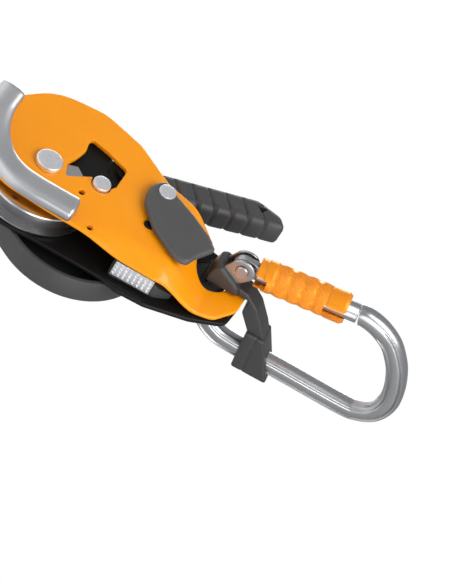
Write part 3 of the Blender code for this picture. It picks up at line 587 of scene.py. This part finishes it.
def along_handle(distance, side=0.0):
    """A point in the XZ plane, along the handle and outward from its middle."""
    s, c = np.sin(HANDLE_LEAN), np.cos(HANDLE_LEAN)
    return (HUB[0] - distance * s - side * c, HUB[1] + distance * c - side * s)


def ease(t):
    t = np.clip(t, 0, 1)
    return t * t * (3 - 2 * t)


# ---- properties ----------------------------------------------------------------------
class PulleyLooks(bpy.types.PropertyGroup):
    """Sizes and colours a user may change."""
    plate_colour: FloatVectorProperty(name="Plate colour", description="Paint of the side plate",
                                      subtype="COLOR", size=3, min=0, max=1,
                                      default=(1.0, 0.335, 0.0))
    sleeve_colour: FloatVectorProperty(name="Sleeve colour", description="Dye of the lock sleeve",
                                       subtype="COLOR", size=3, min=0, max=1,
                                       default=(1.0, 0.32, 0.005))
    plastic_colour: FloatVectorProperty(name="Plastic colour", description="Grey mouldings",
                                        subtype="COLOR", size=3, min=0, max=1,
                                        default=(0.053, 0.052, 0.052))
    metal_tone: FloatProperty(name="Metal tone", description="Brightness of polished metal",
                              min=0, max=1, default=0.5)
    plate_edge: FloatProperty(name="Plate edge", description="Edge radius of the plates, mm",
                              min=0.1, max=0.9, default=0.7)
    knurl_depth: FloatProperty(name="Knurl depth", description="Depth of the knurling, mm",
                               min=0, max=0.6, default=0.42)
    knurl_count: IntProperty(name="Knurls", description="Ridges round the sleeve",
                             min=10, max=60, default=50)
    grip_ribs: IntProperty(name="Grip ribs", description="Grooves across the handle",
                           min=0, max=12, default=6)
    camera_distance: FloatProperty(name="Camera distance", description="From object to camera",
                                   unit="LENGTH", min=0.3, max=5, default=1.3)
    camera_lens: FloatProperty(name="Lens", description="Focal length", unit="CAMERA",
                               min=20, max=400, default=169.9)


# ---- pieces --------------------------------------------------------------------------
def plate_front(p):
    """Outer face of the side plate.

    A smooth step leads down to the hole, a product of two smooth steps rolls the +X rim
    inward, and the bead stands proud of both.
    """
    face, tip = low("stop_pin", Y) + 1.6, TIP_Y
    down = ease((p[:, 1] - EYE_Z + 24.0) / 26.0)
    rim = ease((p[:, 0] - 20.0) / 14.0) * ease((p[:, 1] - EYE_Z + 66.0) / 26.0)
    return face + (tip - face) * down + 4.2 * rim * (1 - 0.85 * down) - ridge_bead(p)


def plate_outline():
    """The side plate with its attachment hole open toward -X, as one loop."""
    hook = arc((0, EYE_Z), EYE_RADIUS, -143, 90, 40)
    before = device([(2, 19.6, 6), (13, 18.4, 9), (24.5, 10.0, 8), (28.6, -8, 14),
                     (32.0, -24, 16)])
    before += about_axle([(31.4, 36.6, 20), (30.6, 8.6, 20), (29, -11.4, 24), (20, -34.4, 22),
                          (-18, -35.4, 30), (-42, -13.4, 30), (-45, 12.6, 24), (-38, 34.6, 20)])
    before += device([(-24, -38, 12), (-17, -14, 8), (-15.6, -6.02, 1.2)])
    eye = [(*point, 0) for point in hook]
    return rounded(before + eye + device([(-9.5, 10, 1.5), (-9.5, 17, 4)]))


def plate_window():
    """The window about the axle, round at the stop pin."""
    reach = np.hypot(*(STOP - AXLE))
    heading = np.degrees(np.arctan2(*(STOP - AXLE)[::-1]))
    end = [(*p, 0) for p in arc(STOP, 5.0, heading - 180, heading, 16)]
    return rounded(end + [polar(reach + 7.3, 104), polar(reach + 13.7, 122.5, 3),
                          polar(reach + 7.9, 139, 2), polar(reach + 4.8, 155.8, 1.5),
                          polar(reach + 1.2, 154.7, 1.2), polar(reach - 3.3, 147.5, 2),
                          polar(20.5, 144.5, 2), polar(16.1, 139.2, 2), polar(10.0, 129, 1),
                          polar(10.0, 80, 1), polar(16.0, 99.3, 3), polar(reach - 4.5, 107.5, 2)])


RIDGE = ((3.0, -54.0), (6.5, -50.5), (12.5, -47.0), (19.6, -40.5), (24.8, -31.0), (28.0, -19.0))


def ridge_bead(p):
    """Height of the formed bead: a bell curve of the distance to the ridge line."""
    line = smooth(np.array(RIDGE), 12) + (0, EYE_Z)
    return 0.5 * np.exp(-(distance(p, line) / 2.2) ** 2)


class PULLEY_OT_side_plate(bpy.types.Operator):
    """Formed and painted side plate with its window and holes"""
    bl_idname = "pulley.side_plate"
    bl_label = "Side plate"

    def execute(self, context):
        skin, edge = Skin(), context.scene.pulley_looks.plate_edge
        button = ((low("catch_button", X) + high("catch_button", X)) / 2,
                  (low("catch_button", Z) + high("catch_button", Z)) / 2)
        holes = [plate_window(), arc(AXLE, 4.8, 0, 355, 48), arc(button, 2.8, 0, 350, 30),
                 arc(LATCH, 2.3, 0, 350, 24), arc(AXLE + (6.0, 20.2), 1.6, 0, 350, 24),
                 arc(AXLE + (23.4, 31.2), 1.6, 0, 350, 24)]
        slab(skin, plate_outline(), plate_front, lambda p: plate_front(p) + PLATE, edge, holes,
             spacing=1.3, step=0.5)
        piece("side_plate_formed", skin, "swing_plate", ["side_plate"],
              material("paint"))
        return {"FINISHED"}


class PULLEY_OT_horn(bpy.types.Operator):
    """Friction horn along the edge and round the far end"""
    bl_idname = "pulley.horn"
    bl_label = "Friction horn"

    def execute(self, context):
        level = high("friction_horn", Y) - HORN_THICKNESS / 2
        route = np.array([(27.6, 0, 22.6), (27.6, 0, 12.6), (27.4, 0, 0.6), (25.6, 0, -10.4),
                          (20.5, -1.2, -20.4), (11.5, -4.0, -27.9), (0.0, -8.0, -31.4),
                          (-12.0, -12.0, -30.4)]) + (0, level, AXLE[1])
        path = smooth(route, 14)
        section = np.repeat(superellipse(HORN_THICKNESS, HORN_WIDTH, 3.0)[None], len(path), 0)
        skin = Skin()
        swept(skin, path, (0, 1, 0), section, ends=2.4)
        piece("horn_bar", skin, "swing_plate", ["friction_horn"], material("horn"), 60)
        return {"FINISHED"}


class PULLEY_OT_latch(bpy.types.Operator):
    """Moulded latch that closes the attachment hole"""
    bl_idname = "pulley.latch"
    bl_label = "Latch"

    def execute(self, context):
        outline = rounded(device([(-21.5, -40.5, 8), (-12, -46.5, 14), (-1, -44.5, 14),
                                  (10.5, -35.5, 16), (20.5, -21, 8), (20.8, -14, 4),
                                  (14.5, -11.6, 3), (3.8, -4.8, 2), (-2.5, -10.5, 3),
                                  (-9.3, -20.5, 6), (-15.5, -32, 6)]))
        front, back = low("latch", Y), high("latch", Y)
        spot = np.array([5.0, EYE_Z - 26.0])

        def face(p):
            """A shallow dish in the middle of the front face."""
            return front + 0.5 * np.exp(-((p - spot) ** 2).sum(1) / 70.0)

        skin = Skin()
        slab(skin, outline, face, back, 1.6, [arc(LATCH, 2.3, 0, 350, 30)], spacing=1.1)
        piece("latch_body", skin, "latch", ["latch"], material("latch"))
        return {"FINISHED"}


class PULLEY_OT_plates(bpy.types.Operator):
    """Rear plate and the drum that covers the ratchet"""
    bl_idname = "pulley.plates"
    bl_label = "Rear plate and guard"

    def execute(self, context):
        outline = rounded(device([(5, 19.4, 14), (21, 16.5, 8), (29.5, 0, 14), (35.6, -22, 8),
                                  (36.2, -37, 5), (34, -46, 8), (34, -100, 26), (24, -126, 26),
                                  (-18, -126, 30), (-38, -100, 26), (-40, -70, 16),
                                  (-30, -44, 10), (-22, -22, 12), (-16, 6, 10), (-8, 18.4, 8)]))
        holes = [arc((0, EYE_Z), EYE_RADIUS, 0, 355, 60), arc(AXLE, 16, 0, 355, 60),
                 arc(HUB, 3.5, 0, 350, 24)]
        skin = Skin()
        slab(skin, outline, low("rear_plate", Y), high("rear_plate", Y), 0.6, holes)
        piece("rear_plate_sheet", skin, "device", ["rear_plate"], material("coated"))

        start, end, wall, bend = low("rear_guard", Y), high("rear_guard", Y), GUARD_WALL, 2.6
        sweep = np.linspace(0, np.pi / 2, 7)
        rings = [(wall, end - wall), (wall, start + 0.3), (wall - 0.4, start), (0.4, start),
                 (0.1, start + 0.1), (0, start + 0.4)]
        rings += [(bend * (1 - np.cos(t)), end - bend * (1 - np.sin(t))) for t in sweep]
        rings += [(8.0, end), (9.0, end - 0.5)]
        skin = Skin()
        shell(skin, belt((2.8, EYE_Z - 66.8), GUARD_RADIUS, AXLE, GUARD_END_RADIUS), rings)
        piece("guard_drum", skin, "device", ["rear_guard"], material("plastic"))
        return {"FINISHED"}


class PULLEY_OT_handle(bpy.types.Operator):
    """Handle grip with slanted grooves and a finger band"""
    bl_idname = "pulley.handle"
    bl_label = "Handle grip"

    def execute(self, context):
        start, end, half = GRIP_START, GRIP_END, GRIP_HALF
        count = context.scene.pulley_looks.grip_ribs
        front, back = low("handle_grip", Y), high("handle_grip", Y)
        corners = [(start, -half, 3.4), (start, half, 3.4), (end - 15, half, 4), (end - 3, 0.5, 5),
                   (end - 1, -half, 5)]
        outline = rounded([(*along_handle(d, s), r) for d, s, r in corners])
        eye = [(*along_handle(end - 16.5, 3.6), 0.6), (*along_handle(end - 10.5, 1.6), 0.6),
               (*along_handle(end - 14.5, -0.6), 0.6)]
        lean = np.array([-np.sin(HANDLE_LEAN), np.cos(HANDLE_LEAN)])

        def aside(p):
            """Distance from the grip's middle line, outward."""
            return (p - HUB) @ np.array([-lean[1], lean[0]])

        def slant(p):
            """Distance along the grip, leaning with the grooves and counted in grooves."""
            return ((p - HUB) @ lean + 0.25 * aside(p) - start - 9.2) / GRIP_PITCH

        def grooves(p):
            """Bell curves across slanted lines, faded out before the outer edge: 0 to 1."""
            gap = (slant(p) + 0.5) % 1.0 - 0.5
            within = (slant(p) > -0.5) & (slant(p) < count - 0.5)
            bell = np.exp(-(gap * GRIP_PITCH / 0.65) ** 2)
            return within * bell * ease((6.6 - aside(p)) / 2.5)

        def swell(p):
            """A finger rest between two grooves falls evenly from one to the next: 1 to 0."""
            rest = (slant(p) > 0) & (slant(p) < count - 1)
            return np.where(rest, 1 - slant(p) % 1.0, 0.0) * ease((4.0 - aside(p)) / 9.0)

        edge_line = even(outline, 0.5)
        edge_line = edge_line if area(edge_line) > 0 else edge_line[::-1]
        dip = 0.5 * grooves(edge_line) - 0.3 * swell(edge_line)
        edge_line = edge_line + into_material(edge_line) * dip[:, None]
        skin = Skin()
        slab(skin, edge_line, lambda p: front + 1.1 * grooves(p) - 0.5 * swell(p),
             lambda p: back - 0.7 * grooves(p), 3.3, [rounded(eye)], spacing=0.45)
        piece("grip_cover", skin, "handle", ["handle_grip"], material("plastic"))
        return {"FINISHED"}


def connector_route():
    """Centre line of the connector's bar in the YZ plane, nose to the lower bow's end."""
    gate_end = np.hypot(*(NOSE - PIVOT)) - 0.9
    spots = [NOSE, along_gate(gate_end + 4.5), (-27.4, -19.0), (-22.8, -11.0), (-17.0, -5.6),
             (-9.0, -0.4), (2.0, 3.9), (13.0, 5.6), (22.4, 2.8), (27.6, -4.0), (29.4, -13.0),
             (29.4, -43.0), (29.4, -73.0), (27.6, -83.5), (21.6, -91.4), (11.5, -95.2),
             (0.0, -95.0), (-8.6, -93.6), (-11.6, -92.5)]
    flat = smooth(np.array(spots), 14)
    return np.c_[np.zeros(len(flat)), flat]


class PULLEY_OT_connector(bpy.types.Operator):
    """Forged connector frame, with a web between rounded flanges"""
    bl_idname = "pulley.connector"
    bl_label = "Connector frame"

    def execute(self, context):
        path = connector_route()
        run = np.linspace(0, 1, len(path))
        base = superellipse(BAR_WIDTH, BAR_DEPTH, 2.6, 112)
        section = np.repeat(base[None], len(path), 0)
        strength = ease((run - 0.10) / 0.08) * ease((0.97 - run) / 0.05)
        off = np.abs(base[:, 1])
        web = 0.7 * ease((3.4 - off) / 0.7) + 0.45 * np.exp(-((off - 2.7) / 0.45) ** 2)
        section[..., 0] -= np.sign(base[:, 0]) * strength[:, None] * web
        skin = Skin()
        swept(skin, path, (1, 0, 0), section, ends=0.35)
        cheek = belt(tuple(PIVOT), 6.3, (-10.2, -93.4), 5.0)
        for side in (-1, 1):
            slab(skin, cheek, side * BAR_WIDTH / 2, side * CHEEK_INNER, 0.35,
                 [arc(PIVOT, 2.7, 0, 350, 24)], X)
        piece("connector_bar", skin, "connector", ["connector_frame"],
              material("polished"), 50)
        return {"FINISHED"}


class PULLEY_OT_gate(bpy.types.Operator):
    """Gate rod with its tongue"""
    bl_idname = "pulley.gate"
    bl_label = "Gate"

    def execute(self, context):
        reach = np.hypot(*(NOSE - PIVOT)) - GATE_GAP
        skin = Skin()
        turned(skin, [(0, 7.0), (GATE_RADIUS - 0.5, 7.0), (GATE_RADIUS, 7.5),
                      (GATE_RADIUS, reach - 0.5), (GATE_RADIUS - 0.4, reach),
                      (0, reach)], (0, *PIVOT), GATE_AXIS)
        neck = belt(tuple(PIVOT), 5.6, tuple(along_gate(10)), 3.6)
        slab(skin, neck, -1.7, 1.7, 0.3, [arc(PIVOT, 2.7, 0, 350, 24)], X)
        piece("gate_rod", skin, "gate", ["gate"], material("polished"))
        return {"FINISHED"}


class PULLEY_OT_sleeve(bpy.types.Operator):
    """Lock sleeve: diamond knurling, smooth dimples between four bands, slotted ends

    The knurl is the root of the product of two sine waves that wind opposite ways.
    """
    bl_idname = "pulley.sleeve"
    bl_label = "Lock sleeve"

    def execute(self, context):
        looks = context.scene.pulley_looks
        start, end = SLEEVE_START, SLEEVE_END
        s = np.linspace(start, end, 255)[:, None]
        a = np.linspace(0, TAU, 360, endpoint=False)[None]
        collar = ease((s - start) / 0.6) * ease((end - s) / 0.6)
        shoulder = ease((s - start - 3.4) / 1.2) * ease((end - 0.6 - s) / 1.0)
        grip = ease((s - start - 7.6) / 1.0) * ease((end - 9.4 - s) / 1.0)
        band = (s - start - 9.5) / 6.6
        away = np.abs((band + 0.5) % 1.0 - 0.5) * 6.6
        valley = np.exp(-(away / 1.5) ** 2) * grip
        stagger = np.pi / 6 * (np.floor(band + 0.5) % 2)
        around = np.abs((a + stagger) % (TAU / 6) - TAU / 12) * 8.0
        patch = np.exp(-((around / 2.4) ** 2 + (away / 1.7) ** 2) ** 3)
        left, right = (np.sin(looks.knurl_count / 2 * a + turn * 3.1 * s) for turn in (1, -1))
        ridge = np.sqrt(np.abs(left * right))
        radius = 6.9 + 0.35 * collar + 0.7 * shoulder - 0.4 * valley - 0.3 * patch * grip
        radius = radius - looks.knurl_depth * (1 - ridge) * grip * (1 - patch)
        bore, pocket, recess = SLEEVE_BORE, SLEEVE_POCKET, SLEEVE_RECESS
        inner = [(bore, end), (bore, end - 11.6), (pocket, end - 12.2), (pocket, start + 11.1),
                 (bore, start + 10.5), (bore, start + 3.4), (recess, start + 3.0),
                 (recess, start)]
        within, depth = np.array(inner).T[..., None]
        rows = np.vstack([np.broadcast_to(within, (len(inner), 360)), radius])
        place = np.vstack([depth, s])
        ring = np.stack([rows * np.cos(a), rows * np.sin(a), np.broadcast_to(place, rows.shape)],
                        -1)
        skin = Skin()
        skin.grid(ring @ turn_frame(GATE_AXIS).T + (0, *PIVOT), closed=True)
        made = piece("sleeve_knurled", skin, "sleeve", ["lock_sleeve"],
                     material("sleeve"), 70)
        for first, last in ((start - 1, start + 6.0), (end - 11.0, end + 1)):
            cutter = Skin()
            spots = [along_gate(first, -SLOT_HALF), along_gate(last, -SLOT_HALF),
                     along_gate(last, SLOT_HALF), along_gate(first, SLOT_HALF)]
            slab(cutter, rounded([(*p, 0.8) for p in spots]), 2.0, 12.0, 0.1, (), X)
            cut_out(made, cutter)
        return {"FINISHED"}


def cut_out(made, skin):
    """Take one closed surface out of a piece."""
    tool = link("cutter", skin)
    step = made.modifiers.new("cut", "BOOLEAN")
    step.operation, step.solver, step.object = "DIFFERENCE", "EXACT", tool
    bpy.context.view_layer.update()
    graph = bpy.context.evaluated_depsgraph_get()
    result = bpy.data.meshes.new_from_object(made.evaluated_get(graph))
    made.modifiers.clear()
    made.data = result
    bpy.data.objects.remove(tool, do_unlink=True)


class PULLEY_OT_bar_clip(bpy.types.Operator):
    """Positioning bar: clip head, arm and foot"""
    bl_idname = "pulley.bar_clip"
    bl_label = "Positioning bar"

    def execute(self, context):
        head = rounded([(-16.8, -97.0, 2), (-15.0, -99.6, 1), (-9.0, -101.0, 2),
                        (-4.6, -101.0, 1), (-4.6, -84.0, 0.4), (-9.2, -84.6, 1),
                        (-10.6, -86.2, 2)])
        arm = rounded([(-9.2, -84.8, 0), (-4.6, -84.8, 0), (-4.6, -77.6, 1), (3.8, -77.6, 3),
                       (14.0, -69.6, 0), (14.0, -60.4, 0), (7.4, -64.4, 3), (-2.4, -71.8, 4),
                       (-8.6, -79.8, 3)])
        neck = rounded([(-9.0, -102.2, 0.3), (0.0, -102.2, 0), (0.0, -100.6, 0),
                        (-9.0, -100.6, 0)])
        disc = arc((0, EYE_Z), 9.0, 0, 356, 90)
        foot = rounded([(12.6, -70.4, 1), (37.4, -68.0, 1.5), (37.0, -48.6, 1.5),
                        (12.6, -60.8, 1)])

        def face(p, side):
            """Side of the foot with a slot line across it."""
            return side * (6.6 - 0.5 * np.exp(-((p[:, 1] + 66.0 - 0.1 * p[:, 0]) / 0.5) ** 2))

        skin = Skin()
        slab(skin, head, -6.6, 6.6, 1.2, (), X)
        slab(skin, arm, -5.0, 5.0, 0.8, (), X)
        slab(skin, neck, -4.0, 4.0, 0.2, (), X)
        slab(skin, disc, -0.8, 3.4, 0.4)
        slab(skin, foot, lambda p: face(p, -1), lambda p: face(p, 1), 0.9, (), X, 0.7)
        piece("bar_clip", skin, "connector", ["positioning_bar"],
              material("clip"))
        return {"FINISHED"}


def middle_of(node):
    lo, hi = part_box(node)
    return np.array(lo + hi) / 2 / MM


class PULLEY_OT_turned(bpy.types.Operator):
    """Sheave, pins and rivets turned on a lathe

    The sheave's groove is half an ellipse: depth by the sine, width by the cosine.
    """
    bl_idname = "pulley.turned"
    bl_label = "Turned pieces"

    def execute(self, context):
        half, middle = (SHEAVE_REAR - SHEAVE_FRONT) / 2, (SHEAVE_REAR + SHEAVE_FRONT) / 2
        t = np.linspace(0, np.pi, 41)
        rim = SHEAVE_RADIUS
        groove = np.c_[rim - GROOVE_DEPTH * np.sin(t), (FLANGE_RIM - half) * np.cos(t)]
        profile = [(6.7, -half), (12.0, -half), (12.6, -half + 0.5), (26.0, -half + 0.5),
                   (26.6, -half), (rim - 0.6, -half), (rim - 0.2, 0.2 - half),
                   (rim, 0.6 - half), *groove, (rim, half - 0.6), (rim - 0.6, half),
                   (11.0, half), (11.0, half + 3.6), (6.7, half + 3.6)]
        skin = Skin()
        turned(skin, profile, (AXLE[0], middle, AXLE[1]), (0, 1, 0), 144)
        piece("sheave_turned", skin, "sheave", ["sheave"], sheave_groove_shade(), 35)
        for node, body, radius, rim, step, stem in (
                ("main_axle", "device", 6.6, 1.0, 2.3, 4.5),
                ("stop_pin", "device", 4.5, 0.5, 2.6, 3.2),
                ("latch_rivet", "swing_plate", 4.4, 0.4, 1.6, 2.0)):
            at = middle_of(node)
            face, tail = low(node, Y), high(node, Y)
            skin = Skin()
            turned(skin, [(0, face + 0.12), (radius * 0.3, face + 0.1), (radius - rim, face),
                          (radius - rim * 0.4, face + 0.12), (radius - rim * 0.1, face + 0.4),
                          (radius, face + 0.8), (radius, face + step), (stem, face + step),
                          (stem, tail), (0, tail)], (at[X], 0, at[Z]), (0, 1, 0))
            piece(f"{node}_turned", skin, body, [node],
                  faced(f"faced_{node}", (at[X], 0, at[Z]), Y))
        return {"FINISHED"}


NODE_FINISHES = {
    # the friction pad takes the steel that is lightened as painted light
    "pad": ("friction_pad",),
    "steel": ("release_cam", "ratchet_wheel", "pawl", "pawl_pin", "cover_screw",
              "pad_screw_1", "pad_screw_2", "handle_nut", "axle_clip", "grip_pin",
              "guide_pin", "horn_rivet_1", "horn_rivet_2", "gate_rivet", "bar_head_pin",
              "bar_foot_pin"),
    "spring": ("gate_spring", "sleeve_spring", "latch_spring", "handle_spring", "pawl_spring"),
    "plastic": ("pad_block",),
    "black": ("inner_cover", "catch_button"),
    "coated": ("handle_lever", "handle_bolt"),
    "bush": ("sheave_bush",),
}


class PULLEY_OT_carried(bpy.types.Operator):
    """Finishes of the pieces whose frame shape is kept"""
    bl_idname = "pulley.carried"
    bl_label = "Small pieces"

    def execute(self, context):
        for finish, nodes in NODE_FINISHES.items():
            for node in nodes:
                mesh = frame["nodes"][node].data
                mesh.materials.clear()
                mesh.materials.append(material(finish))
        return {"FINISHED"}


class PULLEY_OT_stage(bpy.types.Operator):
    """Pale floor, soft lights, bright surroundings and the camera"""
    bl_idname = "pulley.stage"
    bl_label = "Stage"

    def execute(self, context):
        looks, scene = context.scene.pulley_looks, context.scene
        right, down = Vector((-0.3016, -0.3941, 0.8682)), Vector((0.6357, 0.5956, 0.4912))
        back = right.cross(-down).normalized()
        turn = Matrix((right, -down, back)).transposed().to_4x4()
        target = Vector((3.4, -1.5, -88.9)) * MM
        data = bpy.data.cameras.new("camera")
        data.sensor_fit, data.sensor_height, data.sensor_width = "VERTICAL", 36.0, 36.0
        data.lens, data.dof.use_dof = looks.camera_lens, False
        camera = bpy.data.objects.new("camera", data)
        camera.matrix_world = (Matrix.Translation(target + back * looks.camera_distance) @ turn)
        scene.collection.objects.link(camera)
        scene.camera = camera

        skin = Skin()
        turned(skin, [(0, -420.0), (900.0, -420.0), (900.0, -424.0), (0, -424.0)], (0, 0, 0),
               (0, 0, 1))
        floor = link("floor", skin)
        finish = Finish("pale_floor", (0.86, 0.86, 0.86), 0.0, 0.7)
        finish.set("Roughness", finish.noise(4.0) * 0.1 + 0.65)
        floor.data.materials.append(finish.material)

        for name, direction, size, power in (
                ("key", -right * 0.5 - down * 1.0 + back * 0.9, 0.7, 25.0),
                ("fill", right * 1.0 + down * 0.1 + back * 0.8, 0.8, 9.0),
                ("low", down * 1.0 + back * 0.7, 0.6, 5.0),
                ("behind", -back * 1.0 - down * 0.7, 0.9, 9.0)):
            light = bpy.data.lights.new(name, "AREA")
            light.size, light.energy = size, power
            lamp = bpy.data.objects.new(name, light)
            lamp.location = target + direction.normalized() * 1.0
            lamp.rotation_euler = direction.to_track_quat("Z", "Y").to_euler()
            scene.collection.objects.link(lamp)

        world = bpy.data.worlds.new("studio")
        scene.world = world
        world.use_nodes = True
        tree = world.node_tree
        shown = tree.nodes["Background"]
        shown.inputs["Color"].default_value = (1, 1, 1, 1)
        around = tree.nodes.new("ShaderNodeBackground")
        around.inputs["Color"].default_value = (0.8, 0.82, 0.85, 1)
        around.inputs["Strength"].default_value = 0.45
        ray, mix = tree.nodes.new("ShaderNodeLightPath"), tree.nodes.new("ShaderNodeMixShader")
        tree.links.new(ray.outputs["Is Camera Ray"], mix.inputs[0])
        tree.links.new(around.outputs[0], mix.inputs[1])
        tree.links.new(shown.outputs[0], mix.inputs[2])
        tree.links.new(mix.outputs[0], tree.nodes["World Output"].inputs[0])
        scene.view_settings.view_transform = "Standard"
        return {"FINISHED"}


class PULLEY_PT_panel(bpy.types.Panel):
    """Sizes, colours and a button for each piece"""
    bl_idname = "PULLEY_PT_panel"
    bl_label = "Rope pulley"
    bl_space_type = "VIEW_3D"
    bl_region_type = "UI"
    bl_category = "Pulley"

    def draw(self, context):
        looks = context.scene.pulley_looks
        for name in PulleyLooks.__annotations__:
            self.layout.prop(looks, name)
        for operator in OPERATORS:
            self.layout.operator(operator.bl_idname)


OPERATORS = (PULLEY_OT_stage, PULLEY_OT_side_plate, PULLEY_OT_horn, PULLEY_OT_latch,
             PULLEY_OT_plates, PULLEY_OT_handle, PULLEY_OT_connector, PULLEY_OT_gate,
             PULLEY_OT_sleeve, PULLEY_OT_bar_clip, PULLEY_OT_turned, PULLEY_OT_carried)
CLASSES = (PulleyLooks, *OPERATORS, PULLEY_PT_panel)


def register():
    for item in CLASSES:
        bpy.utils.register_class(item)
    bpy.types.Scene.pulley_looks = PointerProperty(type=PulleyLooks)


def unregister():
    del bpy.types.Scene.pulley_looks
    for item in reversed(CLASSES):
        bpy.utils.unregister_class(item)


def main():
    register()
    for operator in OPERATORS:
        group, name = operator.bl_idname.split(".")
        getattr(getattr(bpy.ops, group), name)()


if __name__ == "__main__":
    main()
